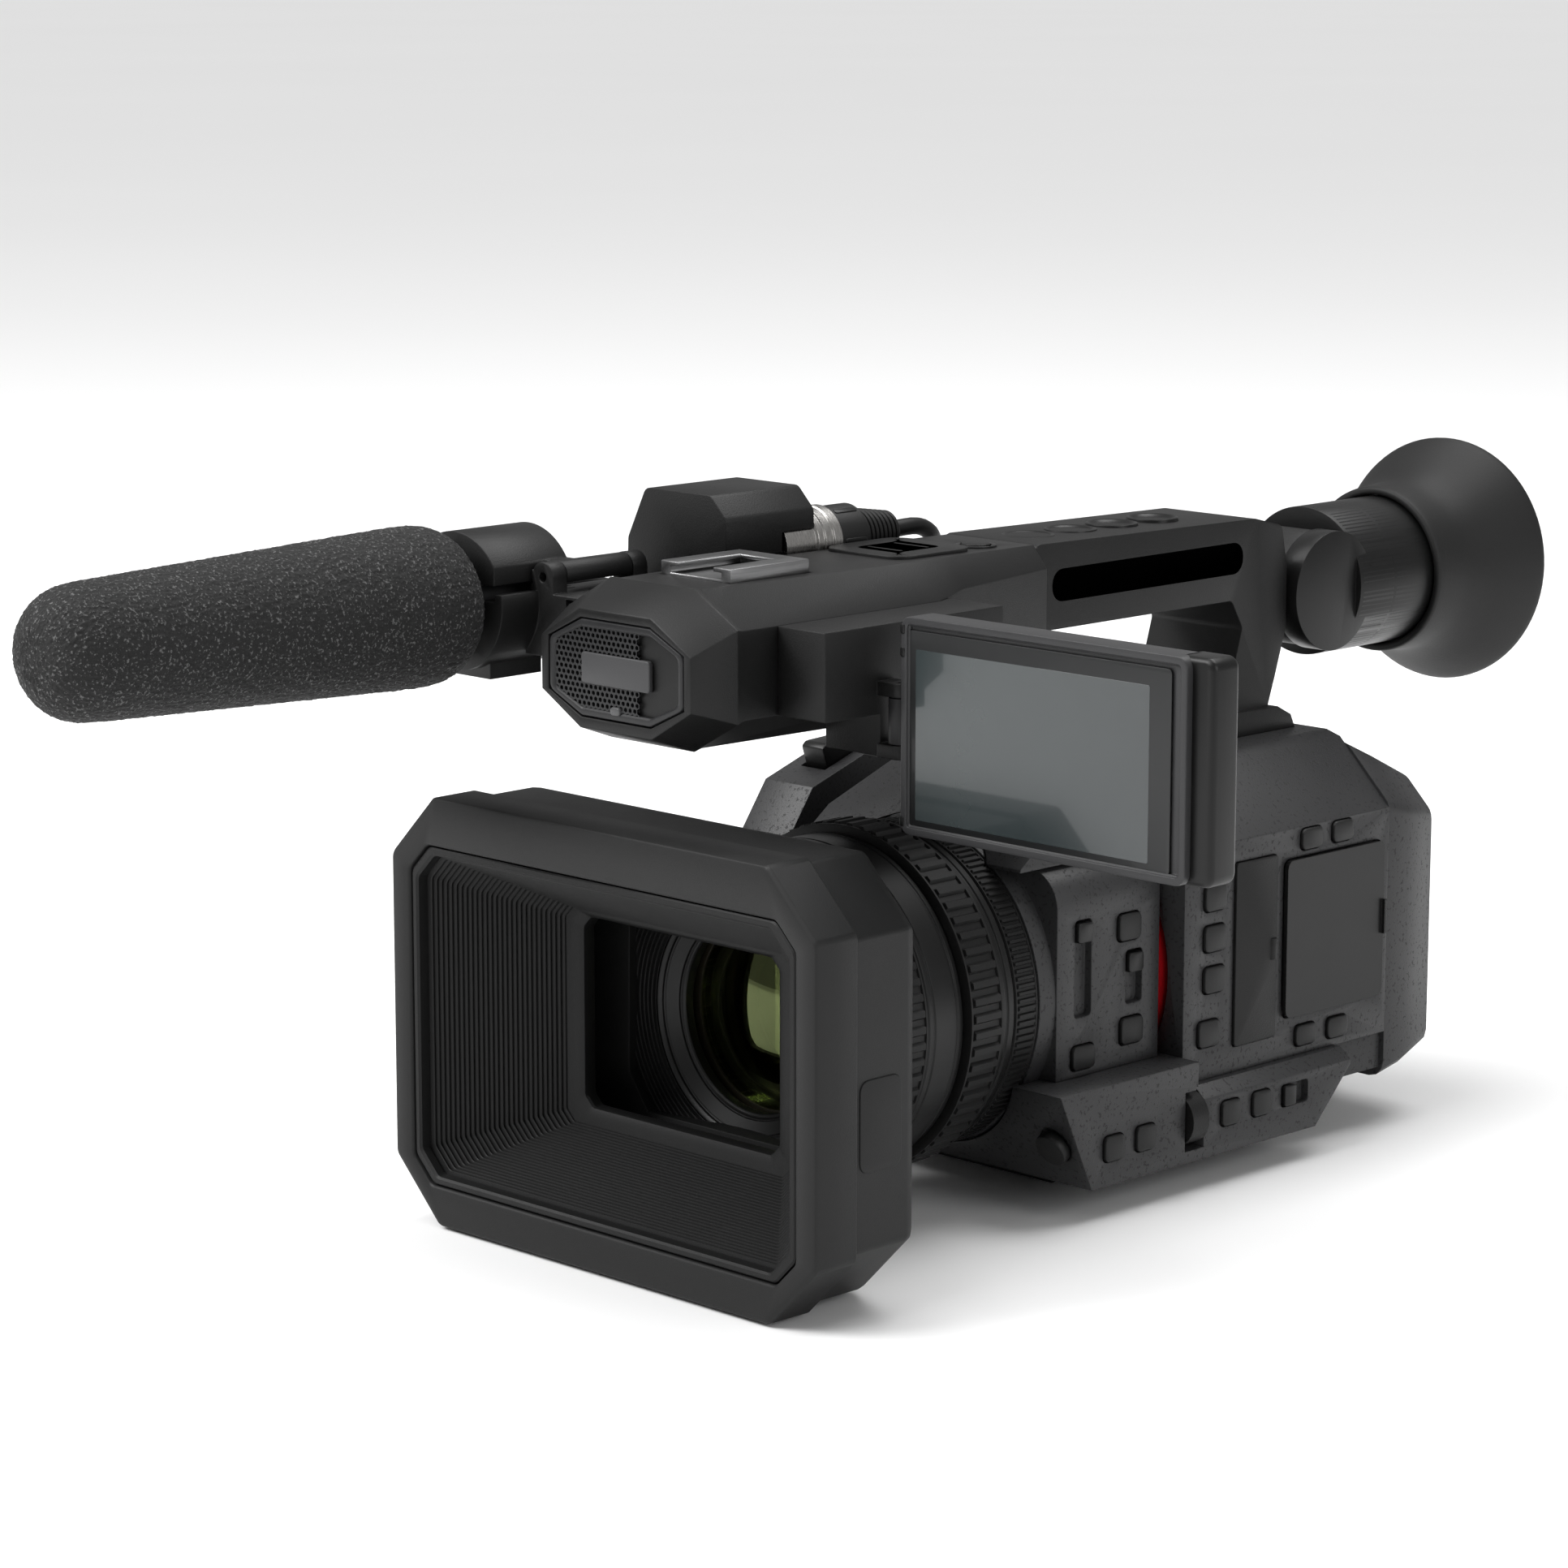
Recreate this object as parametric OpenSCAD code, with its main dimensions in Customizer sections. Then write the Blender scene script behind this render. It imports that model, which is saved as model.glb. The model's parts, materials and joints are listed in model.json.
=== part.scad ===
// Hand-held video camera: zoom lens with hood, top handle with shotgun microphone,
// fold-out screen and tilting eyepiece. Millimetres, +Z up, the lens looks along -Y,
// +X is the operator's left side. The origin is the mouth of the tripod thread.
// Inside datum() the numbers run from the hood's front face (y) and its middle (x, z).

/* [Lens hood] */
// Half the hood's width
hood_half = 80; // [74:1:96]
// Hood's top edge above its middle
hood_top = 60; // [56:1:66]
// Hood's bottom edge below its middle
hood_low = 57.5; // [50:0.5:57.5]
// Length of the hood's straight front box
hood_box = 34; // [30:1:38]
// Thickness of the hood's wall
hood_wall = 2.6; // [2:0.1:4]
// Half width of the hood's inner window
window_half = 36.8; // [34:0.2:40]
// Number of light-trap ribs in the hood
rib_count = 9; // [4:1:9]

/* [Lens barrel] */
// Radius of the lens housing
housing_r = 46; // [44:0.5:46.5]
// Radius of the fixed barrel under the rings
core_r = 42; // [40:0.5:42.5]
// Radius of the focus ring
focus_r = 46; // [44:0.5:48]
// Radius of the zoom ring
zoom_r = 48; // [45:0.5:50]
// Radius of the iris ring
iris_r = 45.5; // [44:0.5:48]
// Radius of the filter thread
filter_r = 33.5; // [30:0.5:36]
// Radius of the accent ring
accent_r = 44.5; // [44:0.5:46]

/* [Body] */
// Distance from the hood's front face back to the tripod thread
tripod_back = 168; // [160:1:180]
// Height of the hood's middle above the base
axis_h = 58; // [58:0.5:64]
// Body side face from the middle, control side
side_x = 52; // [50:0.5:53]
// Height of the body's top deck above the lens
deck_z = 57; // [56:0.5:59]
// Back of the side shells
shell_back = 262; // [255:1:266]
// Back of the rear casing
rear_back = 294; // [290:1:300]
// Wall of the shells
shell_wall = 3.4; // [3:0.1:4]
// Side face of the lower control pod
pod_x = 58; // [56:0.5:59]
// Bottom of the lower control pod below the middle
pod_low = 49; // [47:0.5:49.5]
// Outer reach of the hand grip
grip_x = 80; // [76:1:84]
// Half width of the tripod base
base_half = 24; // [20:1:30]
// Radius of the quarter-inch tripod thread
tripod_r = 3.175; // [3:0.025:3.3]

/* [Handle] */
// Half width of the handle's front pod
head_half = 31.5; // [29:0.5:32]
// Top of the handle above the middle
handle_top = 120.5; // [118:0.5:123]
// Half width of the handle bar
bar_half = 17; // [14:0.5:18]
// Underside of the handle bar
bar_low = 96.3; // [93:0.5:99]
// Radius of the eyepiece tube
eye_r = 22; // [20:0.5:23]
// Distance of the eyepiece pivot behind the hood's front face
eye_pivot_y = 275; // [272:0.5:278]
// Side face of the screen's control box
box_x = 47.5; // [46:0.5:48]

/* [Screen] */
// Length of the screen panel
screen_len = 94; // [88:1:100]
// Height of the screen panel
screen_h = 56; // [52:0.5:58]
// Thickness of the screen panel
screen_t = 9.2; // [8:0.2:9.6]

/* [Microphone] */
// Radius of the microphone tube
mic_r = 10; // [8:0.5:11]
// Radius of the foam windscreen at its back
foam_r = 21.5; // [18:0.5:22]
// Length of the foam windscreen
foam_len = 134; // [110:1:160]
// Height of the microphone above the middle
mic_z = 111; // [108:0.5:114]
// Distance of the microphone from the middle
mic_x = 65; // [63:0.5:70]

/* [Controls] */
// Clear gap round each key
key_gap = 0.35; // [0.3:0.05:0.5]
// Travel of a key
key_travel = 1; // [0.6:0.1:1]
// How far a key stands proud
key_proud = 1; // [0.6:0.1:1.4]
// Width of a square key
key_w = 9; // [7:0.5:10]
// Height of a square key
key_h = 7.4; // [6:0.2:8]

/* [Hidden] */
$fn = 64;
eps = 0.01;
fit = 0.3;               // clearance between pieces that move past each other
seat = 0.15;             // clearance between fixed pieces that nest
lens_z = 1;              // the lens axis above the hood's middle
hood_chamfer = 17;       // corner cut of the hood's outline
hood_side = 7;           // points to each side of the hood's outline
hood_step = 1.6;         // step behind the front flange
flange_d = 15;           // depth of the hood's front flange
hood_back = 58;          // where the hood's collar ends
collar_r = 49;           // outside of that collar
bezel_r = 44;            // lens front that the collar sits on
collar_gap = 0.65;       // room in the collar, whose bore has flat sides
rim_half = 70;           // mouth of the light trap
rim_z = 44;
rim_w = 2.4;              // ledge round that mouth for the liner's edge
trap_back = 29;          // where the ribbed funnel ends
window_z = 26;           // half height of the window
window_y = 34;           // back of the liner
rings = [[60, 77], [91, 104], [111, 120]];   // focus, zoom and iris rings
housing_y = [120.4, 168.5];
flat_x = 46;             // flat control side of the lens housing
body_y = 172;            // front of the body shells
cowl_y = 118;            // front of the sloping cowl above the lens
pod_y = [113, 239];      // lower pod, front to back
pod_top = -29;           // seam between the pod and the shells
cradle_top = -21;        // pod's shoulder beside the lens
ridge_z = 37;            // where the upper facet meets the side face
facet = 18.5;            // run of that 45 degree facet
key_back = 2.6;          // depth of a key's pocket
nd = [137, 9];           // centre of the ND switch slot, y and z
focus_slot = [158, 3.6];
auto_slot = [214, -37.6];
wheel_at = [170.5, -38.5];
wheel_r = 7.6;
strap_at = [-14, 214];   // centre of the hand strap's arc
strap_r = 80;
strap_t = 4.5;
base_y = [150, 262];     // tripod base, front to back
thread_deep = 7.4;
pin_r = 2.3;             // anti-twist pin hole beside the thread
pin_deep = 6;
leg_y = [104, 146];      // front leg of the handle
bar_y = [146, 246];      // handle bar
eye_pivot_z = 95;
cup_r = 33;              // half width of the eyecup's rim
cheek_r = 17.5;          // round cheeks of the eyepiece pivot
cheek_x = [12.4, 20];
drum_x = 12;
shoe_y = [38, 62];
tilt_z = 87.7;           // screen's tilt axis
hinge_at = [53, 58];     // screen's folding axis, x and y
lug_r = 3.3;
screen_x = 57;           // inner end of the screen panel
screen_y = hinge_at[1];
mic_y = [-118, 34];      // microphone tube
holder_y = [11, 37];
holder_r = 18.5;
lid_axis = [-45, 118];   // x and z of the microphone lid's hinge
plug_x = -25;
plug_z = 122;
plug_r = 9.6;
plug_y = [96.4, 135.5];
xlr_y = [64, 97];
user_rows = [22.4, 10.9, -0.8];  // heights of the three keys behind the accent ring
keys_67 = [[226.4, 33.2], [240.3, 33.4]];  // the two upper keys, y and z
keys_45 = [[225.2, -23.4], [239.5, -23.6]];  // the two lower keys
card_y = [193.3, 211.2]; // card door, front to back
card_z = [-21.5, 30.6];
door_y = [214.8, 258.6]; // clear door over the sound dials
door_z = [-17.2, 28.2];
dial_at = [[252.6, 17.7], [252.6, -4.4]];  // centres of the sound dials
dial_r = 6;
console_x = [-72, -53];  // console on the grip, side to side
rocker_y = 154;          // middle of the zoom rocker on it
// keys along the pod's face
pod_keys = [[136.5, -38.6], [149.6, -38.2], [185.6, -37.8], [199, -37.6]];
xlr_places = [[plug_x, plug_z], [-45, 113]];  // middles of the two sound sockets
cable_r = 2.4;
cable_route = [
    [plug_x, plug_y[1], plug_z], [plug_x, 146, plug_z], [-28, 155, 118], [-35, 161, 111],
    [-44, 163, 105], [-54, 160, 100], [-62, 151, 97], [-66, 138, 96], [-67, 122, 97],
    [-67, 106, 99], [-67, 90, 102], [-66.5, 76, 106], [-65.5, 64, 109.5], [-65, 55, 111],
    [-65, 47, 111]
];

// ---- shared shapes ----

module datum() { translate([0, -tripod_back, axis_h]) children(); }
module on_lens() { translate([0, 0, lens_z]) children(); }
// a flat outline in x and z, run from y0 to y1
module along_y(y0, y1) {
    translate([0, y1, 0]) rotate([90, 0, 0]) linear_extrude(y1 - y0) children();
}
// a flat outline in y and z, run from x0 to x1
module along_x(x0, x1) {
    translate([x0, 0, 0]) rotate([90, 0, 90]) linear_extrude(x1 - x0) children();
}
module rod_y(y0, y1, r) {
    translate([0, y0, 0]) rotate([-90, 0, 0]) cylinder(r = r, h = y1 - y0);
}
module rod_x(x0, x1, r) {
    translate([x0, 0, 0]) rotate([0, 90, 0]) cylinder(r = r, h = x1 - x0);
}
module rod_z(z0, z1, r) { translate([0, 0, z0]) cylinder(r = r, h = z1 - z0); }
module block(low, high) { translate(low) cube(high - low); }
// a profile of [radius, y] points turned about the lens's direction
module turned(points) { rotate([-90, 0, 0]) rotate_extrude() polygon(points); }
module tube_y(y0, y1, r_in, r_out) {
    turned([[r_in, y0], [r_out, y0], [r_out, y1], [r_in, y1]]);
}
module on_lens_bore(y0, y1, r) { on_lens() rod_y(y0, y1, r); }

function unit(v) = v / norm(v);
function corner(a, b, c, r, n) =
    let (u = unit(a - b), w = unit(c - b), half = acos(u * w) / 2,
         mid = b + unit(u + w) * r / sin(half),
         p = b + u * r / tan(half) - mid, q = b + w * r / tan(half) - mid,
         a0 = atan2(p[1], p[0]), turn = ((atan2(q[1], q[0]) - a0 + 540) % 360) - 180)
    [for (i = [0 : n]) mid + r * [cos(a0 + turn * i / n), sin(a0 + turn * i / n)]];
// an outline with every corner rounded
function rounded(pts, r, n = 4) =
    let (k = len(pts))
    [for (i = [0 : k - 1]) each corner(pts[(i + k - 1) % k], pts[i], pts[(i + 1) % k], r, n)];
function oblong(w, h) = [[-w, -h], [w, -h], [w, h], [-w, h]] / 2;
function cut_oblong(w, top, low, c) = [
    [-w + c, -low], [w - c, -low], [w, -low + c], [w, top - c],
    [w - c, top], [-w + c, top], [-w, top - c], [-w, -low + c]
];
// a solid skinned over rings of points, each ring with the same count, with a fan at each end
module loft(sections) {
    n = len(sections[0]);
    m = len(sections);
    middle = [for (s = [sections[0], sections[m - 1]]) [for (k = [0 : 2])
        [for (q = s) q[k]] * [for (q = s) 1] / n]];
    polyhedron(
        points = concat([for (s = sections) each s], middle),
        faces = concat(
            [for (i = [0 : n - 1]) [m * n, (i + 1) % n, i]],
            [for (k = [0 : m - 2], i = [0 : n - 1]) let (j = (i + 1) % n)
                each [[k * n + i, (k + 1) * n + j, (k + 1) * n + i],
                      [k * n + i, k * n + j, (k + 1) * n + j]]],
            [for (i = [0 : n - 1]) [m * n + 1, (m - 1) * n + i, (m - 1) * n + (i + 1) % n]]),
        convexity = 8);
}
// a rounded box ring in x and z at distance y: half sizes a and b, squareness p
function soft_ring(y, cx, cz, a, b, p, n = 40) = [
    for (i = [0 : n - 1]) let (t = 360 * i / n, c = cos(t), s = sin(t),
        r = pow(pow(abs(c) / a, p) + pow(abs(s) / b, p), -1 / p))
    [cx + r * c, y, cz + r * s]
];
// points spaced along the sides of an outline, hood_side of them to each side
function along_sides(pts) = let (k = len(pts)) [
    for (i = [0 : k - 1], j = [0 : hood_side - 1])
        let (t = j / hood_side) pts[i] * (1 - t) + pts[(i + 1) % k] * t
];
// the hood's outline seen from the front, with its corners cut
function hood_ring(y, w, top, low, c) =
    [for (p = along_sides(cut_oblong(w, top, low, c))) [p[0], y, p[1]]];

// ---- keys and their pockets ----

// a key on a face that looks along +X, centred at y and z
module key_x(face, y, z, w = key_w, h = key_h) {
    along_x(face - key_back + key_travel + fit, face + key_proud)
        translate([y, z]) polygon(rounded(oblong(w, h), 1.6, 3));
}
module key_pocket_x(face, y, z, w = key_w, h = key_h) {
    along_x(face - key_back, face + 5)
        translate([y, z]) polygon(rounded(oblong(w + 2 * key_gap, h + 2 * key_gap), 1.8, 3));
}
// ---- lens hood ----

module hood_shell() {
    color("#2a2a2a") datum() difference() {
        hood_outer();
        hood_inner();
        hood_screw_places() rod_y(-1, 3.6, 2.4);
    }
}
// the octagonal box, stepped behind its front flange and drawn in to a round collar
module hood_outer() {
    along_y(0, flange_d) polygon(cut_oblong(hood_half, hood_top, hood_low, hood_chamfer));
    along_y(flange_d - 1, hood_box) polygon(cut_oblong(hood_half - hood_step,
        hood_top - hood_step, hood_low - hood_step, hood_chamfer));
    loft(concat(hood_taper(hood_step, collar_r, [0, 0.35, 0.7, 1]),
        [round_ring(hood_back, collar_r)]));
}
module hood_inner() {
    wall = hood_step + hood_wall;
    along_y(-1, 5) polygon(cut_oblong(rim_half + rim_w, rim_z + rim_w, rim_z + rim_w, 7));
    along_y(4, hood_box + eps) polygon(cut_oblong(hood_half - wall, hood_top - wall,
        hood_low - wall, hood_chamfer));
    bore = bezel_r + collar_gap;
    loft(concat(hood_taper(wall, bore, [0, 0.35, 0.7]),
        [round_ring(hood_back - 7, bore), round_ring(hood_back + 1, bore)]));
}
// the same points drawn in to a circle
function round_ring(y, r) = [
    for (p = along_sides(cut_oblong(hood_half, hood_top, hood_low, hood_chamfer)))
        let (t = atan2(p[1], p[0])) [r * cos(t), y, r * sin(t) + lens_z]
];
// rings from the box to the collar, blended by the share t of the way
function hood_taper(inset, end_r, steps) = [
    for (t = steps) let (k = 1 - pow(t, 2.2), y = hood_box + t * 15,
        a = hood_ring(y, hood_half - inset, hood_top - inset, hood_low - inset, hood_chamfer),
        b = round_ring(y, end_r))
    [for (i = [0 : len(a) - 1]) a[i] * k + b[i] * (1 - k)]
];
module hood_screw_places() {
    for (x = [-1, 1], z = [-1, 1]) translate([x * 60.5, 0, z * 49.5]) children();
}
// a ribbed funnel that traps stray light, open at both ends
module hood_liner() {
    wall = hood_step + hood_wall + seat;
    color("#171717") datum() difference() {
        union() {
            loft([funnel_ring(3.2, rim_half + 2.2, rim_z + 2.2, 7),
                funnel_ring(6, rim_half + 2.2, rim_z + 2.2, 7),
                funnel_ring(window_y - 1, 46, 33, 5)]);
            along_y(window_y - 2, window_y) polygon(cut_oblong(hood_half - wall,
                hood_top - wall, hood_low - wall, hood_chamfer));
        }
        for (i = [0 : rib_count - 1]) let (t = i / rib_count)
            along_y(i == 0 ? 2 : 3.2 + (trap_back - 3.2) * t,
                    3.2 + (trap_back - 3.2) * (t + 1 / rib_count) + eps)
                funnel_cut(t);
        translate([0, 0, 1.3]) along_y(trap_back - 1, window_y + 1)
            polygon(rounded(oblong(2 * window_half, 2 * window_z), 3, 3));
    }
}
function funnel_ring(y, w, h, c) = [for (p = cut_oblong(w, h, h, c)) [p[0], y, p[1]]];
module funnel_cut(t) {
    w = rim_half * (1 - t) + 42.5 * t;
    h = rim_z * (1 - t) + 29.5 * t;
    polygon(cut_oblong(w, h, h, 6 * (1 - t) + 3 * t));
}
module hood_screws() {
    color("#1c1c1c") datum() hood_screw_places() difference() {
        union() {
            rod_y(0.4, 2.2, 2.3);
            rod_y(2.2, 3.5, 1.2);
        }
        for (turn = [0, 90]) rotate([0, turn, 0]) block([-1.3, 0, -0.3], [1.3, 1.2, 0.3]);
    }
}

// ---- lens ----

module lens_barrel() {
    color("#1b1b1b") datum() on_lens() {
        turned([
            [filter_r, 51], [bezel_r, 51], [bezel_r, 59.6], [core_r, 59.6], [core_r, 77.4],
            [45.2, 77.4], [45.2, 90.6], [core_r, 90.6], [core_r, 104.4], [45.2, 104.4],
            [45.2, 110.6], [core_r, 110.6], [core_r, 176], [38, 176], [38, 66],
            [filter_r, 60]
        ]);
    }
}
module name_ring() {
    color("#202020") datum() on_lens()
        turned([[26, 57], [filter_r - seat, 53.5], [filter_r - seat, 60], [26, 60]]);
}
// ground lenses: the domed front one, two inner groups and the spacer tube between them
module lens_elements() {
    color("#5a6456") datum() on_lens() {
        rotate([-90, 0, 0]) rotate_extrude() polygon(concat(
            [[0, 62]], [for (a = [0 : 5 : 25]) [60 * sin(a), 58.4 + 60 - 60 * cos(a)]],
            [[26, 68], [0, 68]]));
        tube_y(68, 70, 20, 37.8);
        turned([[0, 78], [19, 81], [19, 88], [0, 88]]);
        tube_y(70, 160, 19.2, 21);
        turned([[0, 118], [17, 118], [19.1, 124], [0, 124]]);
    }
}
module ring_blank(span, r) { tube_y(span[0], span[1], core_r + fit, r); }
// a grip ring with square notches all round its rim
module grip_ring(span, r, teeth, depth) {
    difference() {
        ring_blank(span, r);
        for (i = [0 : teeth - 1]) rotate([0, 360 * i / teeth, 0])
            block([-0.9, span[0] + 1.4, r - depth], [0.9, span[1] - 1.4, r + 1]);
    }
}
module focus_ring() {
    color("#181818") datum() on_lens() grip_ring(rings[0], focus_r, 36, 0.8);
}
module zoom_ring() {
    color("#181818") datum() on_lens() grip_ring(rings[1], zoom_r, 36, 0.9);
}
module iris_ring() {
    color("#181818") datum() on_lens() grip_ring(rings[2], iris_r, 36, 0.7);
}
// the lens housing has a flat control side and a rounded top and bottom
module housing_outline() {
    circle(r = housing_r);
    difference() {
        translate([0, -22]) square([flat_x, 58]);
        translate([flat_x - 11, 25]) difference() {
            square([12, 12]);
            circle(r = 11);
        }
    }
}
module lens_housing() {
    color("#333333") datum() difference() {
        union() {
            along_y(housing_y[0] + 6, housing_y[1]) translate([0, lens_z]) housing_outline();
            on_lens() tube_y(housing_y[0], housing_y[0] + 6, core_r + seat, housing_r - 0.6);
        }
        on_lens_bore(housing_y[0] - 1, housing_y[1] + 1, core_r + seat);
        along_x(flat_x - key_back, flat_x + 5)
            translate(nd) polygon(rounded(oblong(6.8, 27), 1.2, 3));
        along_x(flat_x - key_back, flat_x + 5)
            translate(focus_slot) polygon(rounded(oblong(6.8, 15), 1.2, 3));
        key_pocket_x(flat_x, 155.5, 17.8);
        key_pocket_x(flat_x, 156.8, -11.4);
        key_pocket_x(flat_x, 137, -15.6, key_w, 6.6);
    }
}
module accent_ring() {
    color("#9c1016") datum() on_lens() turned([
        [core_r + seat, housing_y[1] + seat], [accent_r, housing_y[1] + seat],
        [accent_r, 176], [core_r + seat, 176]
    ]);
}
module slide_switch(face, at, travel_up, w = 6, h = 5.4) {
    along_x(face - key_back + fit, face + key_proud) translate(at + [0, travel_up])
        polygon(rounded(oblong(w, h), 0.8, 2));
}
module nd_switch() { color("#202020") datum() slide_switch(flat_x, nd, 10); }
module focus_switch() { color("#202020") datum() slide_switch(flat_x, focus_slot, 4); }
module focus_assist_button() { color("#262626") datum() key_x(flat_x, 155.5, 17.8); }
module push_auto_button() { color("#262626") datum() key_x(flat_x, 156.8, -11.4); }
module iris_button() { color("#262626") datum() key_x(flat_x, 137, -15.6, key_w, 6.6); }

// ---- body ----

function body_side(sx, x0) = [
    [x0, pod_top], [sx, pod_top], [sx, ridge_z], [sx - facet, ridge_z + facet],
    [sx - facet - 5, deck_z], [x0, deck_z]
];
// the body's outline on one side, from the middle plane to side face sx
module half_body(sx, grow) {
    difference() {
        union() {
            along_y(body_y + grow, shell_back) polygon([for (p = body_side(sx - grow, 0))
                [p[0], min(p[1], deck_z - grow)]]);
            along_y(cowl_y + grow, body_y + grow + eps)
                polygon([[0, 20], [40 - grow, 20], [40 - grow, 44 - grow], [30 - grow, deck_z - grow],
                    [0, deck_z - grow]]);
        }
        // the cowl's front slopes back to the deck
        along_x(-1, 60) polygon([[cowl_y - 1, 38 - grow], [cowl_y + grow, 38 - grow],
            [cowl_y + 26 + grow, deck_z - grow + eps], [cowl_y + 26, deck_z + 9],
            [cowl_y - 1, deck_z + 9]]);
    }
}
module lens_passage() { on_lens_bore(cowl_y - 5, body_y + 6, housing_r + seat); }
module left_shell() {
    color("#2e2e2e") datum() difference() {
        half_body(side_x, 0);
        difference() {
            half_body(side_x, shell_wall);
            block([-1, cowl_y, pod_top - 1], [60, shell_back + 1, pod_top + shell_wall]);
        }
        lens_passage();
        // room for the housing's flat side
        block([26, cowl_y - 1, -30], [60, body_y - 3, 36 + lens_z + seat]);
        wire_way();
        audio_recess();
        key_pocket_x(side_x, 182.5, -15.9);
        for (z = user_rows) key_pocket_x(side_x, 184.6, z);
        for (k = concat(keys_67, keys_45)) key_pocket_x(side_x, k[0], k[1], 9, 6);
        along_x(side_x - 2.2, side_x + 5) card_outline(seat * 2);
    }
}
module card_outline(gap) {
    polygon(rounded([[card_y[0] - gap, card_z[0] - gap], [card_y[1] + gap, card_z[0] - gap],
        [card_y[1] + gap, card_z[1] + gap], [card_y[0] - gap, card_z[1] + gap]], 1, 2));
}
module door_outline(gap) {
    polygon(rounded([[door_y[0] - gap, door_z[0] - gap], [door_y[1] + gap, door_z[0] - gap],
        [door_y[1] + gap, door_z[1] + gap], [door_y[0] - gap, door_z[1] + gap]], 2.4, 3));
}
module audio_recess() { along_x(side_x - 2.8, side_x + 5) door_outline(seat * 2); }
module card_door() {
    color("#1d1d1d") datum() {
        along_x(side_x - 2, side_x + 0.8) card_outline(0);
        translate([side_x + 0.4, card_y[1] - 1.6, 4]) rod_z(-3, 3, 1.3);
    }
}
module audio_door() {
    color("#1a1a1a", 0.5) datum() {
        along_x(side_x + 0.1, side_x + 1.5) door_outline(0);
        block([side_x + 0.1, door_y[1] - 1, 1], [side_x + 2.6, door_y[1], 11]);
    }
}
module dial(at) {
    difference() {
        translate([0, at[0], at[1]]) union() {
            rod_x(side_x - 2.6, side_x - 1.2, dial_r);
            rod_x(side_x - 1.2, side_x - 0.3, dial_r - 1.4);
        }
        translate([0, at[0], at[1]]) block([side_x - 0.9, -0.5, 1], [side_x, 0.5, 4]);
    }
}
module audio_dial_1() { color("#242424") datum() dial(dial_at[0]); }
module audio_dial_2() { color("#242424") datum() dial(dial_at[1]); }
module white_button() { color("#262626") datum() key_x(side_x, 182.5, -15.9); }
module user_button_1() { color("#262626") datum() key_x(side_x, 184.6, user_rows[0]); }
module user_button_2() { color("#262626") datum() key_x(side_x, 184.6, user_rows[1]); }
module user_button_3() { color("#262626") datum() key_x(side_x, 184.6, user_rows[2]); }
module keys_6_7() {
    color("#262626") datum() for (k = keys_67) key_x(side_x, k[0], k[1], 9, 6);
}

// the grip half, with the rear casing that wraps round the back
module right_shell() {
    color("#242424") datum() difference() {
        union() {
            mirror([1, 0, 0]) half_body(side_x, 0);
            rear_casing(0);
            grip(0);
            grip_console();
            block([-46, pod_y[1] + seat, -40], [side_x - 2, shell_back + 1, pod_top]);
        }
        difference() {
            union() {
                mirror([1, 0, 0]) half_body(side_x, shell_wall);
                rear_casing(shell_wall);
                grip(shell_wall);
            }
            block([-90, 0, -60], [90, shell_back, pod_top + shell_wall]);
        }
        lens_passage();
        wire_way();
        battery_bay();
        rocker_slot();
    }
}
function casing_ring(y, w, top, low, c) = [for (p = rounded([[-w, -low], [w, -low], [w, top - c],
    [w - c, top], [-w + c, top], [-w, top - c]], 5, 3)) [p[0], y, p[1]]];
module rear_casing(grow) {
    g = grow;
    loft([
        casing_ring(shell_back + g, side_x - g, 54 - g, 43 - g, 16),
        casing_ring(rear_back - 22, side_x - g, 49 - g, 41 - g, 14),
        casing_ring(rear_back - 8, side_x - 3 - g, 42 - g, 38 - g, 10),
        casing_ring(rear_back - g, side_x - 9 - g, 33 - g, 32 - g, 6)
    ]);
}
module grip(grow) {
    g = grow;
    loft([
        soft_ring(132 + g, -57, 2, 9 - g, 16 - g, 3),
        soft_ring(146, -59, 3, 15 - g, 27 - g, 3),
        soft_ring(166, -60, 4, grip_x - 62 - g, 34 - g, 3.4),
        soft_ring(200, -58, 4, grip_x - 58 - g, 37 - g, 3.6),
        soft_ring(246, -56, 3, grip_x - 56 - g, 36 - g, 3.6),
        soft_ring(272, -52, 1, grip_x - 57 - g, 33 - g, 3.4),
        soft_ring(288 - g, -48, 0, 20 - g, 25 - g, 3)
    ]);
}
// a sloping console on top of the grip that carries the zoom rocker
module grip_console() {
    along_x(console_x[0], console_x[1])
        polygon([[124, 20], [123, 32], [133, 46], [166, 57], [186, 50], [196, 30], [196, 20]]);
}
module rocker_slot() {
    translate([0, rocker_y, 52.6]) rotate([18.5, 0, 0])
        block([-67.4, -12, -4.4], [-57.6, 12, 8]);
}
module grip_rocker() {
    color("#1f1f1f") datum() translate([0, rocker_y, 52.6]) rotate([18.5, 0, 0])
        along_x(-66.9, -58.1) polygon([[-10.5, -1], [-3, -3.9], [3, -3.9], [10.5, -1],
            [10.5, 6.2], [8.5, 7], [0, 4.6], [-8.5, 7], [-10.5, 6.2]]);
}
module battery_bay() {
    block([-26, rear_back - 14, -34], [13, rear_back + 5, 33]);
}
module battery() {
    color("#191919") datum() along_y(rear_back - 14 + fit, rear_back + 9) translate([-6.5, -0.5])
        polygon(rounded(oblong(38.2, 65.8), 3, 3));
}
// the hand strap bows out from the grip's two ends, leaving room for the fingers
module hand_strap() {
    color("#1c1c1c") datum() difference() {
        translate([strap_at[0], strap_at[1], -20]) linear_extrude(46) difference() {
            intersection() {
                circle(r = strap_r + strap_t, $fn = 96);
                translate([-strap_r - 10, -62]) square([56, 124]);
            }
            circle(r = strap_r, $fn = 96);
        }
        grip(-fit);
    }
}

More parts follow.
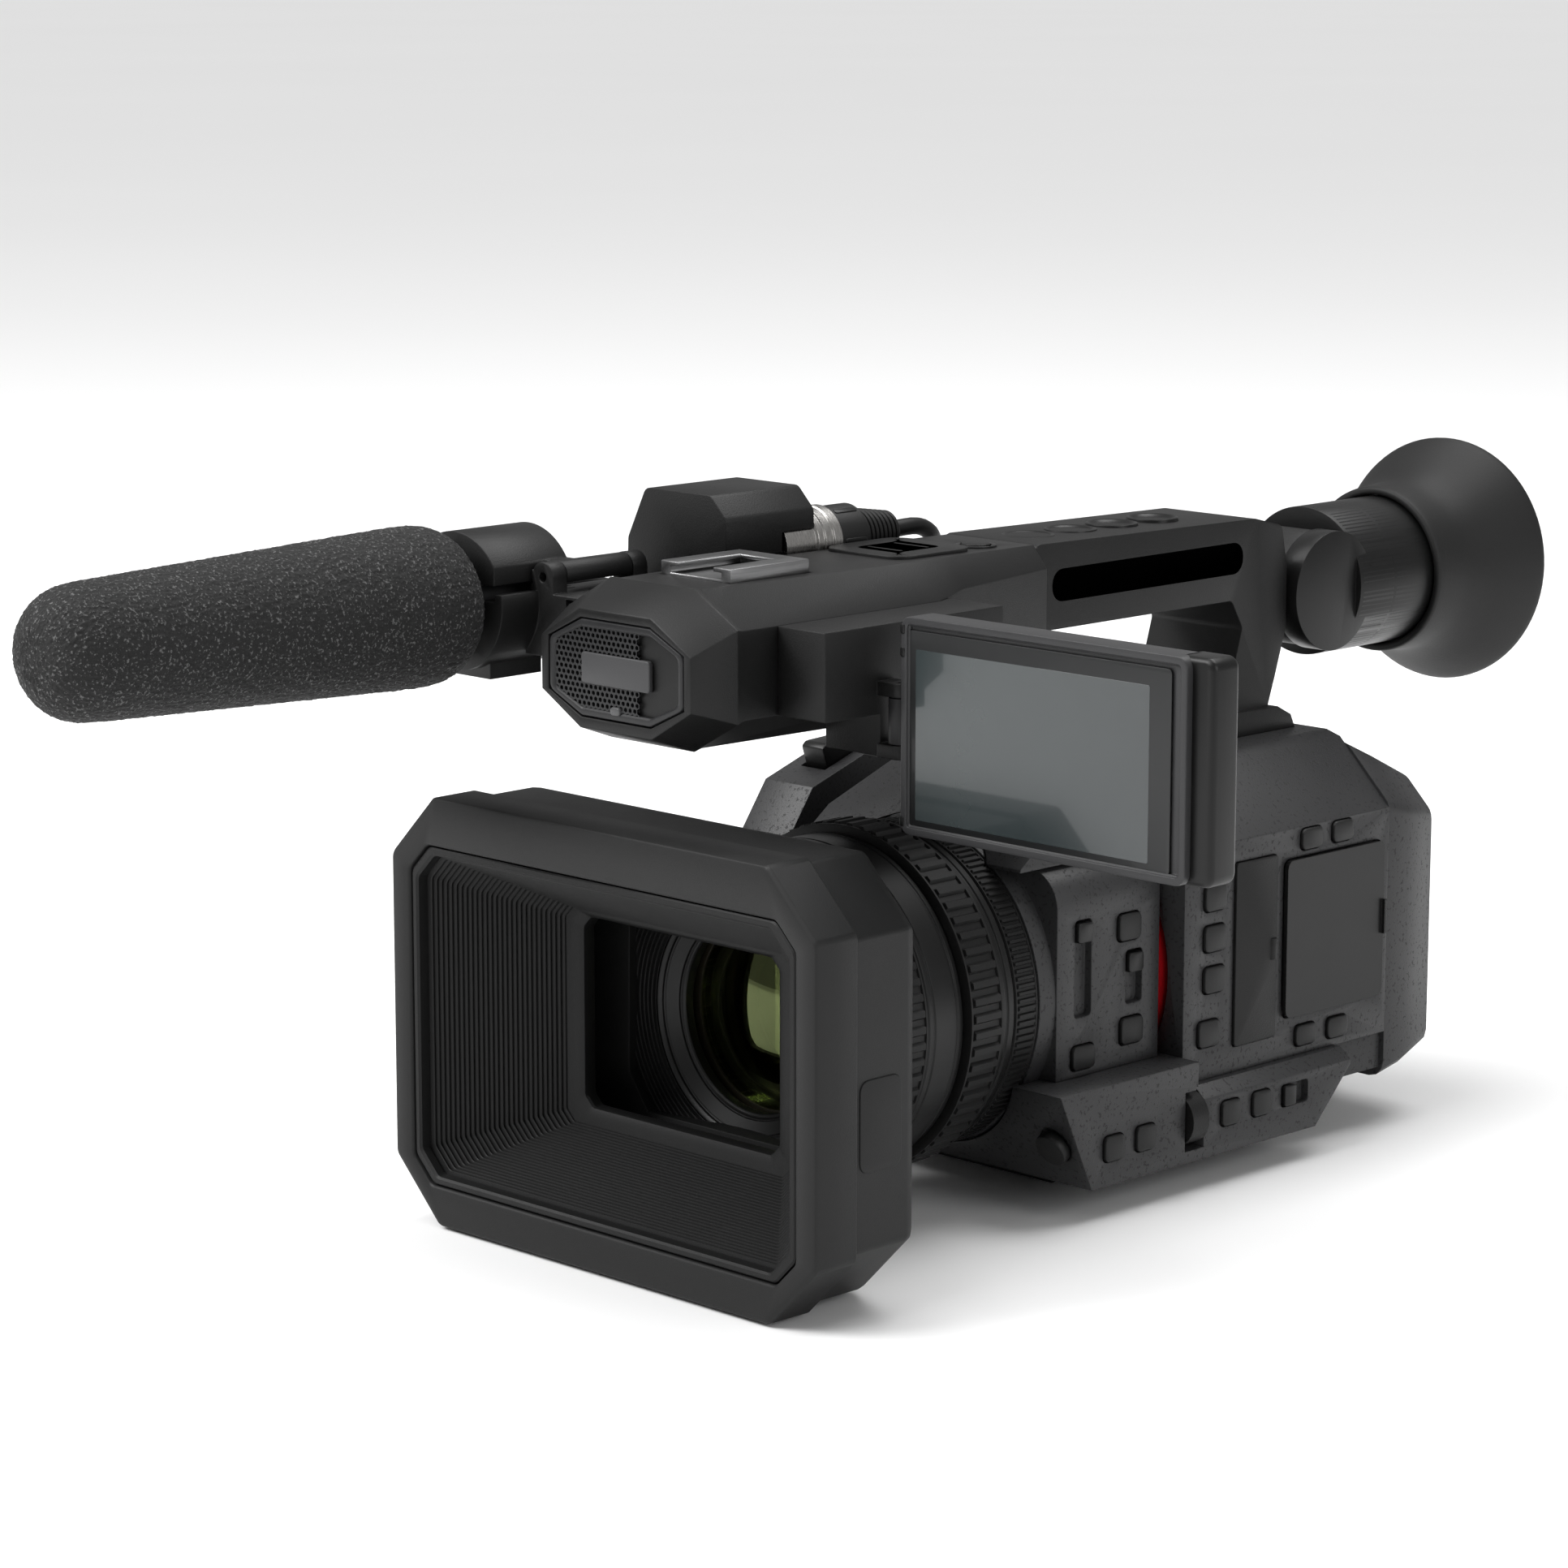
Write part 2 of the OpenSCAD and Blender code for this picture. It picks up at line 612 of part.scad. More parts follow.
// the lower casing: control pod on the left, cradle under the lens
module control_pod() {
    color("#2e2e2e") datum() difference() {
        along_x(-46, pod_x) polygon([
            [pod_y[0] + 15, -pod_low], [223.5, -pod_low], [pod_y[1], -33.5],
            [pod_y[1], pod_top], [body_y - seat, pod_top], [body_y - seat, cradle_top],
            [pod_y[0] + 2, cradle_top]
        ]);
        // bevel along the ledge above the control face
        along_y(body_y - 1, pod_y[1] + 1)
            polygon([[side_x + 1, pod_top + 1], [pod_x + 1, pod_top + 1], [pod_x + 1, pod_top - 4]]);
        on_lens_bore(pod_y[0] - 1, body_y + 6, housing_r + seat);
        // room for the underside of the grip
        block([-47, 128, -37.5], [-37, pod_y[1] + 1, cradle_top + 1]);
        // hollow inside
        block([-36.5, 176, -pod_low + 3.4], [pod_x - 16, pod_y[1] - 8, pod_top + 1]);
        for (k = pod_keys) key_pocket_x(pod_x, k[0], k[1], 8, 7);
        along_x(pod_x - key_back, pod_x + 5) translate(auto_slot)
            polygon(rounded(oblong(12, 6.6), 1, 2));
        translate([0, wheel_at[0], wheel_at[1]]) block([pod_x - 14, -4, -7.2], [pod_x + 5, 4, 9.6]);
        round_key_place() rod_y(-5, 3.2, 5.4);
        block([-base_half - seat, base_y[0] - seat, -60], [base_half + seat, pod_y[1] + 1, -pod_low + 1.2]);
    }
}
// the round key lies on the pod's sloping front face
module round_key_place() {
    translate([50, 120.6, -37.6]) rotate([27.5, 0, 0]) children();
}
module user_button_9() { color("#262626") datum() round_key_place() rod_y(-1.1, 1.9, 5); }
module gain_shutter_keys() {
    color("#262626") datum() for (i = [0, 1]) key_x(pod_x, pod_keys[i][0], pod_keys[i][1], 8, 7);
}
module exit_menu_keys() {
    color("#262626") datum() for (i = [2, 3]) key_x(pod_x, pod_keys[i][0], pod_keys[i][1], 8, 7);
}
module keys_4_5() {
    color("#262626") datum() for (k = keys_45) key_x(side_x, k[0], k[1], 9, 6);
}
module auto_switch() {
    color("#202020") datum() along_x(pod_x - key_back + fit, pod_x + key_proud)
        translate(auto_slot + [-2.8, 0]) polygon(rounded(oblong(5, 5.8), 0.6, 2));
}
module select_wheel() {
    color("#1c1c1c") datum() translate([pod_x - 5, wheel_at[0], wheel_at[1] + 1.2])
        rod_y(-3.4, 3.4, wheel_r);
}
module base_plate() {
    color("#3a3a3a") datum() difference() {
        union() {
            block([-base_half, base_y[0], -axis_h], [base_half, base_y[1], -pod_low + 1]);
            block([-base_half, pod_y[1] + 1, -axis_h], [base_half, base_y[1], -40]);
        }
        translate([0, tripod_back, -axis_h - 1]) cylinder(r = tripod_r, h = thread_deep + 1);
        translate([0, tripod_back + 20, -axis_h - 1]) cylinder(r = pin_r, h = pin_deep + 1);
    }
}
module circuit_boards() {
    board = 1.6;
    low = -pod_low + 3.4 + fit;
    color("#1d4a2c") datum() {
        block([-30, 184, -18], [40, 184 + board, 42]);
        block([-4, 190, -14], [-4 + board, 256, 44]);
        block([-24, 177, -12], [24, 180, 14]);
        block([-14, 180, -8], [14, 184, 8]);
        block([-4, 184, 8], [-4 + board, 190, 22]);
        block([-35, 184, low], [30, 228, low + board]);
        block([-34, 184, low], [-30, 184 + board, 10]);
    }
}
// a way for wires through the floor of the shells
module wire_way() { block([-37, 182, pod_top - 1], [37, 230, pod_top + shell_wall + 1]); }

// ---- handle ----

function head_section(y, w, z0, z1, cx, cz) = [
    [-w + cx, y, z0], [w - cx, y, z0], [w, y, z0 + cz], [w, y, z1 - cz],
    [w - cx, y, z1], [-w + cx, y, z1], [-w, y, z1 - cz], [-w, y, z0 + cz]
];
// the handle's front pod: a flared eight-sided cowl that thins towards the bar
module handle_pod() {
    color("#262626") datum() difference() {
        union() {
            loft([
                head_section(8, 27.8, 84, 115, 14.5, 8.5),
                head_section(21, head_half, 79.5, 121.5, 16, 9),
                head_section(24, head_half - 1, 80, 121, 15.5, 9),
                head_section(96, 30.5, 80, 121, 12, 9),
                head_section(112, 24, 84, 121, 6, 8),
                head_section(leg_y[1] + 2, 21.5, 88, 120.5, 5, 6)
            ]);
            front_leg();
            block([-35, 24, 94], [-28, 60, 112]);
        }
        along_y(7, 10.4) polygon(cut_grille(seat));
        head_cavity();
        translate([plug_x, 0, plug_z]) rod_y(xlr_y[1] - 13, 150, plug_r + 0.6);
        translate([0, 112, 0]) block([-8, -9, 115.4], [8, 9, 125]);
        translate([8, 134, 0]) rod_z(116.6, 125, 4.4);
        block([-13.4, shoe_y[0] - 2, 120], [13.4, shoe_y[1] + 4, 130]);
    }
}
module head_cavity() {
    loft([
        head_section(10.4 + 3, 24, 88, 112, 12, 8),
        head_section(30, 27, 84, 117, 14, 9),
        head_section(90, 26, 84, 117, 11, 9)
    ]);
}
function cut_grille(gap) = [
    [-12.8 - gap, 86.9 - gap], [12.8 + gap, 86.9 - gap], [25.2 + gap, 92.8 - gap],
    [25.2 + gap, 106.6 + gap], [12.8 + gap, 112.6 + gap], [-12.8 - gap, 112.6 + gap],
    [-25.2 - gap, 106.6 + gap], [-25.2 - gap, 92.8 - gap]
];
module front_leg() {
    along_x(-19, 19) polygon([[leg_y[0] - 4, 90], [leg_y[0] + 14, deck_z + 5], [144, deck_z],
        [152, deck_z], [154, deck_z + 8], [150, 84], [leg_y[1] + 2, 92], [leg_y[1] + 2, 100],
        [leg_y[0] - 4, 100]]);
}
module mic_grille() {
    color("#303030") datum() difference() {
        along_y(8.2, 10.2) polygon(cut_grille(0));
        for (i = [-11 : 11], j = [-5 : 5]) let (x = i * 2.1 + (j % 2 != 0 ? 1.05 : 0), z = 99.7 + j * 2.1)
            if ((abs(x) > 13 || abs(z - 99.7) > 5) && abs(x) < 23 && abs(x) / 2 + abs(z - 99.7) < 17.6)
                translate([x, 7, z]) rotate([-90, 0, 0]) cylinder(r = 0.78, h = 4, $fn = 6);
    }
}
// the bar itself, its rear leg and the tongue that carries the eyepiece
module handle_bar() {
    color("#222222") datum() difference() {
        union() {
            along_x(-bar_half, bar_half) polygon(rounded([
                [bar_y[0] + 2.2, bar_low], [bar_y[0] + 2.2, handle_top], [bar_y[1] - 4, handle_top - 1.5],
                [254, 116], [256.6, 104], [256.6, 86], [252, 72], [247, deck_z + 1], [229, deck_z + 1],
                [232, 72], [237, 88], [232, bar_low]
            ], 2.2, 3));
            rear_foot();
            block([-11, 248, 86], [11, eye_pivot_y, 104]);
            translate([0, eye_pivot_y, eye_pivot_z]) rod_x(-drum_x, drum_x, cheek_r - 0.6);
        }
        translate([0, eye_pivot_y, eye_pivot_z]) rod_x(-30, 30, 3.2);
    }
}
module rear_foot() {
    along_x(-bar_half - 3, bar_half + 3)
        polygon([[224, deck_z], [258, deck_z], [256, deck_z + 4], [250, deck_z + 7], [230, deck_z + 7],
            [226, deck_z + 4]]);
}
module handle_rocker() {
    color("#1f1f1f") datum() translate([0, 112, 0]) along_x(-6.6, 6.6)
        polygon([[-7.6, 116.8], [-2, 115.7], [2, 115.7], [7.6, 116.8], [7.6, 121.6], [5, 122],
            [0, 120.8], [-5, 122], [-7.6, 121.6]]);
}
module record_button() {
    color("#702020") datum() translate([8, 134, 0]) rod_z(117.9, 121.6, 4);
}
module cold_shoe() {
    color("#b8b8b8") datum() difference() {
        block([-13, shoe_y[0] - 1.5, 120 + eps], [13, shoe_y[1] + 3, 124.6]);
        block([-9.4, shoe_y[0] - 3, 121.6], [9.4, shoe_y[1], 123.4]);
        block([-6.4, shoe_y[0] - 3, 121.6], [6.4, shoe_y[1] - 3, 126]);
    }
}
// control box beside the pod; the folding screen hangs from its two lugs
module side_box() {
    color("#282828") datum() difference() {
        union() {
            block([26, 36, 89], [box_x, 102, 112]);
            block([28, 56, 78], [box_x, 80, 90]);
        }
        pod_clearance();
    }
    color("#282828") datum() for (z = [[78, 81.6], [94, 97.6]]) hinge_lug(z[0], z[1]);
}
// a lug screwed to the box; the screen's pin turns in its bore
module hinge_lug(z0, z1) {
    difference() {
        union() {
            translate([hinge_at[0], hinge_at[1], 0]) rod_z(z0, z1, lug_r);
            block([box_x + 0.05, hinge_at[1] - lug_r, z0], [hinge_at[0], hinge_at[1] + lug_r, z1]);
        }
        translate([hinge_at[0], hinge_at[1], 0]) rod_z(z0 - 1, z1 + 1, 1.3);
    }
}
module pod_clearance() {
    loft([
        head_section(21, head_half + seat, 79.5 - seat, 121.5 + seat, 16, 9),
        head_section(24, head_half - 1 + seat, 80 - seat, 121 + seat, 15.5, 9),
        head_section(96, 30.5 + seat, 80 - seat, 121 + seat, 12, 9),
        head_section(112, 24 + seat, 84 - seat, 121 + seat, 6, 8)
    ]);
}
module screen_hinge() {
    color("#1b1b1b") datum() {
        translate([hinge_at[0], hinge_at[1], 0]) rod_z(81.9, 93.7, lug_r);
        translate([hinge_at[0], hinge_at[1], 0]) rod_z(78.4, 97.2, 1.25);
        translate([0, screen_y, tilt_z]) rod_x(hinge_at[0], screen_x + 7, 2);
    }
}
module screen_shell() {
    color("#262626") datum() difference() {
        union() {
            along_y(screen_y - screen_t / 2, screen_y + screen_t / 2)
                translate([screen_x + screen_len / 2, tilt_z])
                    polygon(rounded(oblong(screen_len, screen_h), 2.6, 3));
            // thicker outer end and the raised back
            along_y(screen_y - screen_t / 2 + 2, screen_y + screen_t / 2 + 3)
                translate([screen_x + screen_len, tilt_z])
                    polygon(rounded(oblong(14, screen_h), 2.6, 3));
        }
        translate([0, screen_y, tilt_z]) rod_x(screen_x - 1, screen_x + 8, 2.05);
        along_y(screen_y - screen_t / 2 - 1, screen_y - screen_t / 2 + 1.4)
            translate([101.8, 86])
                polygon(rounded(oblong(88.4 + 2 * seat, 51 + 2 * seat), 1, 2));
    }
}
module screen_glass() {
    color("#161a1b") datum() along_y(screen_y - screen_t / 2 + 0.2, screen_y - screen_t / 2 + 1.3)
        translate([101.8, 86]) polygon(rounded(oblong(88.4, 51), 1, 2));
}

// ---- eyepiece ----

module eye_housing() {
    color("#1f1f1f") datum() difference() {
        union() {
            translate([0, 0, eye_pivot_z]) turned([[14, 285], [eye_r, 285], [eye_r, 322],
                [eye_r - 1, 334], [14, 334]]);
            for (s = [0, 1]) mirror([s, 0, 0])
                translate([0, eye_pivot_y, eye_pivot_z]) rod_x(cheek_x[0], cheek_x[1], cheek_r);
            for (s = [0, 1]) mirror([s, 0, 0])
                block([cheek_x[0], eye_pivot_y, eye_pivot_z - 13], [cheek_x[1] - 2, 300, eye_pivot_z + 13]);
        }
        translate([0, eye_pivot_y, eye_pivot_z]) rod_x(-cheek_x[0], cheek_x[0], cheek_r + fit);
        translate([0, 0, eye_pivot_z]) rod_y(270, 340, 14);
    }
    color("#1f1f1f") datum() {
        translate([0, eye_pivot_y, eye_pivot_z]) rod_x(-cheek_x[1], cheek_x[1], 3.15);
    }
}
module eye_lens() {
    color("#4a5560") datum() translate([0, 0, eye_pivot_z]) {
        turned([[0, 322], [13.9, 325], [13.9, 329], [0, 332]]);
        block([-9, 300, -7], [9, 302, 7]);
        tube_y(300, 325, 12.4, 13.9);
    }
}
// the rubber eyecup: a bell that is longer on its outer side
module eyecup() {
    color("#2b2b2b") datum() difference() {
        eye_bell(0);
        eye_bell(2.4);
        translate([0, 0, eye_pivot_z]) rod_y(300, 334.4, eye_r + seat);
    }
}
function eye_ring(y, r, lift, stretch, lean) = [
    for (i = [0 : 31]) let (t = 360 * i / 32)
    [r * cos(t), y + lean * cos(t), eye_pivot_z + lift + r * stretch * sin(t)]
];
module eye_bell(g) {
    loft([
        eye_ring(318.4 + g * 4, eye_r + 3 - g, 0, 1, 0),
        eye_ring(330, eye_r + 3.3 - g, 0, 1, 0),
        eye_ring(338, 27.6 - g, 0, 1.04, 2),
        eye_ring(346, 31 - g, 0, 1.1, 5),
        eye_ring(g > 0 ? 354.2 : 353.2, cup_r - g, 0, 1.14, 8)
    ]);
}

// ---- microphone, its holder and cable ----

module mic_axis() { translate([-mic_x, 0, mic_z]) children(); }
module mic_holder() {
    color("#202020") datum() difference() {
        union() {
            mic_axis() rod_y(holder_y[0], holder_y[1], holder_r);
            block([-52, 24, 97], [-31, 60, 113.8]);
            for (y = [[24, 29], [53, 58]]) translate([lid_axis[0], 0, lid_axis[1]]) {
                rod_y(y[0], y[1], 4);
                block([-4, y[0], -6], [4, y[1], 0]);
            }
            block([-74, 15, 90.5], [-56, 33, 96]);
        }
        mic_axis() rod_y(holder_y[0] - 1, holder_y[1] + 1, mic_r + seat);
        lid_space();
        pod_clearance();
        block([-36, 20, 90], [-27, 61, 113]);
        translate([lid_axis[0], 0, lid_axis[1]]) rod_y(20, 60, 1.4);
        translate([-86.6, 24, mic_z - 8]) rotate([0, 90, 0]) cylinder(r = 2.05, h = 12);
    }
}
// everything above the split line belongs to the lid
module lid_space() {
    block([-100, holder_y[0] - 1, mic_z + 1], [lid_axis[0] - 4.3, holder_y[1] + 1, 140]);
    block([lid_axis[0] - 4.4, holder_y[0] - 1, 114.2], [-30, 23.7, 140]);
    block([lid_axis[0] - 4.6, 29.3, 113.9], [lid_axis[0] + 4.6, 52.7, 140]);
    difference() {
        block([lid_axis[0] - 4.4, 23.6, mic_z + 5], [lid_axis[0], 29.4, 140]);
        translate([lid_axis[0], 0, lid_axis[1]]) rod_y(20, 60, 4.1);
    }
}
module mic_lid() {
    color("#202020") datum() difference() {
        union() {
            intersection() {
                mic_axis() rod_y(holder_y[0], holder_y[1], holder_r);
                block([-100, 0, mic_z + 1.3], [lid_axis[0] - 4.3 - fit, 60, 140]);
            }
            translate([lid_axis[0], 0, lid_axis[1]]) rod_y(29.3, 52.7, 3.9);
            block([-58, 29.3, 117], [lid_axis[0], holder_y[1], 121.6]);
        }
        mic_axis() rod_y(0, 60, mic_r + 2 * fit);
        translate([lid_axis[0], 0, lid_axis[1]]) rod_y(20, 60, 1.4);
        // the corner beside the hinge swings past the holder
        block([-55.5, 0, 100], [-40, 60, 116.4]);
    }
}
module mic_knob() {
    color("#1a1a1a") datum() translate([0, 24, mic_z - 8]) {
        rod_x(-91, -84.2, 6);
        rod_x(-84.3, -78, 2);
    }
}
module microphone() {
    color("#151515") datum() mic_axis() {
        rod_y(mic_y[0], mic_y[1] + 5, mic_r);
        rod_y(mic_y[1] + 5, 47, 7);
    }
}
module windscreen() {
    color("#101010") datum() mic_axis() difference() {
        turned(concat(
            [[0, 8.5 - foam_len]],
            [for (a = [15 : 15 : 75]) [4 + 13.4 * sin(a), 22.5 - foam_len - 14 * cos(a)]],
            [[17.6, 24 - foam_len], [foam_r, -8]],
            [for (a = [15 : 15 : 75]) [foam_r - 9 + 9 * cos(a), -4 + 12 * sin(a)]],
            [[11, 8.5], [0, 8.5]]));
        rod_y(mic_y[0] - seat, 20, mic_r + 0.02);
    }
}
module xlr_box() {
    color("#232323") datum() difference() {
        along_y(xlr_y[0], xlr_y[1]) polygon(rounded([[-56, 96], [-17, 96], [-17, 132],
            [-23, 138], [-48, 138], [-55, 124]], 2.5, 3));
        pod_clearance();
        block([-31, 60, 90], [-10, 100, 121.3]);
        for (p = xlr_places) translate([p[0], 0, p[1]]) rod_y(xlr_y[1] - 12, xlr_y[1] + 1, 9.2);
    }
}
module xlr_plug() {
    color("#c4c4c4") datum() translate([plug_x, 0, plug_z]) {
        rod_y(xlr_y[1] - 11.5, xlr_y[1], 9);
        turned([[0, xlr_y[1]], [plug_r, xlr_y[1]], [plug_r, 107], [9, 107.4], [9, 118], [7.4, 121], [6, 133],
            [cable_r + 1.2, plug_y[1]], [0, plug_y[1]]]);
    }
}
// smooth curve through the route's points
function spline(p, i, t) =
    let (a = p[max(i - 1, 0)], b = p[i], c = p[i + 1], d = p[min(i + 2, len(p) - 1)])
    0.5 * (2 * b + (c - a) * t + (2 * a - 5 * b + 4 * c - d) * t * t
        + (3 * b - a - 3 * c + d) * t * t * t);
cable_path = concat([for (i = [0 : len(cable_route) - 2], t = [0, 0.5]) spline(cable_route, i, t)],
    [cable_route[len(cable_route) - 1]]);
function path_dir(p, i) = i == 0 || i == len(p) - 1 ? [0, i == 0 ? 1 : -1, 0]
    : unit(p[i + 1] - p[i - 1]);
module mic_cable() {
    color("#141414") datum() loft([for (i = [0 : len(cable_path) - 1]) let (
        d = path_dir(cable_path, i), side = unit(cross(d, [0.2, 0, 1])), up = cross(side, d))
        [for (k = [0 : 7]) cable_path[i]
            + cable_r * (cos(45 * k) * side + sin(45 * k) * up)]]);
}

left_shell();
right_shell();
lens_housing();
control_pod();
base_plate();
accent_ring();
lens_barrel();
name_ring();
lens_elements();
hood_shell();
hood_liner();
hood_screws();
handle_pod();
handle_bar();
mic_grille();
side_box();
cold_shoe();
xlr_box();
circuit_boards();
battery();
hand_strap();
mic_holder();
mic_lid();
mic_knob();
microphone();
windscreen();
xlr_plug();
mic_cable();
focus_ring();
zoom_ring();
iris_ring();
screen_hinge();
screen_shell();
screen_glass();
eye_housing();
eye_lens();
eyecup();
card_door();
audio_door();
audio_dial_1();
audio_dial_2();
select_wheel();
nd_switch();
focus_switch();
auto_switch();
grip_rocker();
handle_rocker();
record_button();
white_button();
user_button_1();
user_button_2();
user_button_3();
user_button_9();
focus_assist_button();
push_auto_button();
iris_button();
keys_4_5();
keys_6_7();
gain_shutter_keys();
exit_menu_keys();
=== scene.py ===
# %% [markdown]
# # A hand-held video camera, finished in Blender
# The construction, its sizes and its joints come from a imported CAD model, the frame.
# This lesson gives every surface its finish, and models the pieces whose shape carries the looks:
# the lens hood and its light trap, the grip rings, the glass, the foam windscreen, the grille,
# the fold-out screen, the rubber eyecup, the plug and its cable.

# %% Load the frame
import json
import math

import bmesh
import bpy
from mathutils import Matrix, Vector, noise

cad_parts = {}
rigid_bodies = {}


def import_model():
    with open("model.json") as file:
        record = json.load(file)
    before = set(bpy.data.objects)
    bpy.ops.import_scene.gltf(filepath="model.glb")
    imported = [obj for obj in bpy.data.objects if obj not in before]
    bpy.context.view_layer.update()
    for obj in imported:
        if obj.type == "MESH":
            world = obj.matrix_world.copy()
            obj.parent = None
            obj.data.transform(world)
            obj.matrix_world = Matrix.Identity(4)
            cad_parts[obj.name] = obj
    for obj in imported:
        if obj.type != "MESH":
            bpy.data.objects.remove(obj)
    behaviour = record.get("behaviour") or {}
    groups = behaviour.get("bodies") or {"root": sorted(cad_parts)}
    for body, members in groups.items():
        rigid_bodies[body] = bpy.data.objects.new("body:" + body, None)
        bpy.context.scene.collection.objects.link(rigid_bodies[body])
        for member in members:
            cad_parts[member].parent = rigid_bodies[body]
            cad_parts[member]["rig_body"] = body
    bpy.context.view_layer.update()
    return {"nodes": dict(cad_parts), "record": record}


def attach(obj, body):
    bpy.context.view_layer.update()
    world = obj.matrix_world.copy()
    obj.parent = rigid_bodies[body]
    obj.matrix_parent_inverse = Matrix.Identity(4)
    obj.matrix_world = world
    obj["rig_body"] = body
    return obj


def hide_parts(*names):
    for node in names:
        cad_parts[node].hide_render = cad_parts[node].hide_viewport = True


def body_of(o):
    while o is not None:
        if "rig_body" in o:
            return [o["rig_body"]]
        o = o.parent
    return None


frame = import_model()

# %% [markdown]
# ## Where things are
# The pieces were measured from the middle of the hood's front face, in millimetres.
# The frame's own origin is the tripod thread, in metres. One function turns the first into the second,
# so that every number below can be read against the real object with a ruler.

# %% Millimetres from the hood's face, as metres from the tripod thread
MM = 0.001
THREAD_BACK = 168
HOOD_HEIGHT = 58
LENS_Z = 1


def at(x, y, z):
    return Vector((x * MM, (y - THREAD_BACK) * MM, (z + HOOD_HEIGHT) * MM))


# %% [markdown]
# ## The camera and the cable come first
# The view is a long lens from the front left of the object, a little above it.
# The microphone's cable is a cord: its route is settled before anything else. It leaves the plug, turns down
# behind the side box and runs forward to the microphone.

# %% The camera
bpy.ops.object.camera_add(location=(0.8602, -0.9562, 0.3515))
camera = bpy.context.object
camera.rotation_euler = Vector((-0.6960, 0.6933, -0.1867)).to_track_quat("-Z", "Y").to_euler()
camera.data.lens = 107.13
camera.data.sensor_width = 36
camera.data.clip_end = 30
bpy.context.scene.camera = camera
print("camera at", tuple(round(v, 3) for v in camera.location))

# %% The cable's route
CABLE_WIDE = 4.8
cable_stops = [
    (-25, 135.5, 122), (-25, 146, 122), (-28, 155, 118), (-35, 161, 111), (-44, 163, 105),
    (-54, 160, 100), (-62, 151, 97), (-66, 138, 96), (-67, 122, 97), (-67, 106, 99),
    (-67, 90, 102), (-66.5, 76, 106), (-65.5, 64, 109.5), (-65, 55, 111), (-65, 47, 111),
]


def smooth_route(stops, steps):
    """Points on a smooth curve through the stops."""
    route = []
    for i in range(len(stops) - 1):
        a, b, c, d = (Vector(stops[min(max(k, 0), len(stops) - 1)]) for k in (i - 1, i, i + 1, i + 2))
        for t in (k / steps for k in range(steps)):
            route.append(0.5 * (2 * b + (c - a) * t + (2 * a - 5 * b + 4 * c - d) * t**2
                                + (3 * b - a - 3 * c + d) * t**3))
    return route + [Vector(stops[-1])]


cable_line = [at(*p) for p in smooth_route(cable_stops, 4)]

# %% [markdown]
# ## Shader maths in plain Python
# A pattern such as flecks in paint is a short sum. Wrapping a socket in a small class lets that sum be
# written as `1 - flecks * 0.6`; each operator adds the Math node that it stands for.

# %% A socket that can be added and multiplied
class Wire:
    def __init__(self, finish, socket):
        self.finish, self.socket = finish, socket

    def maths(self, operation, other=0.0, swap=False, clamp=False):
        pair = (other, self) if swap else (self, other)
        return self.finish.node("ShaderNodeMath", {"operation": operation, "use_clamp": clamp}, *pair)

    def __add__(self, other):
        return self.maths("ADD", other)

    def __sub__(self, other):
        return self.maths("SUBTRACT", other)

    def __rsub__(self, other):
        return self.maths("SUBTRACT", other, swap=True)

    def __mul__(self, other):
        return self.maths("MULTIPLY", other)

    def __pow__(self, other):
        return self.maths("POWER", other)

    def above(self, level, soft):
        """0 below the level, 1 above it, with a soft step between."""
        return ((self - level) * (1 / soft)).maths("ADD", 0.5, clamp=True)

    __radd__, __rmul__ = __add__, __mul__


# %% A finish: one material and the nodes that make it
def linear(hex_colour):
    """A colour as it looks on a screen, as the light values that a shader mixes."""
    parts = [int(hex_colour[i:i + 2], 16) / 255 for i in (1, 3, 5)]
    return [c / 12.92 if c < 0.04045 else ((c + 0.055) / 1.055) ** 2.4 for c in parts] + [1.0]


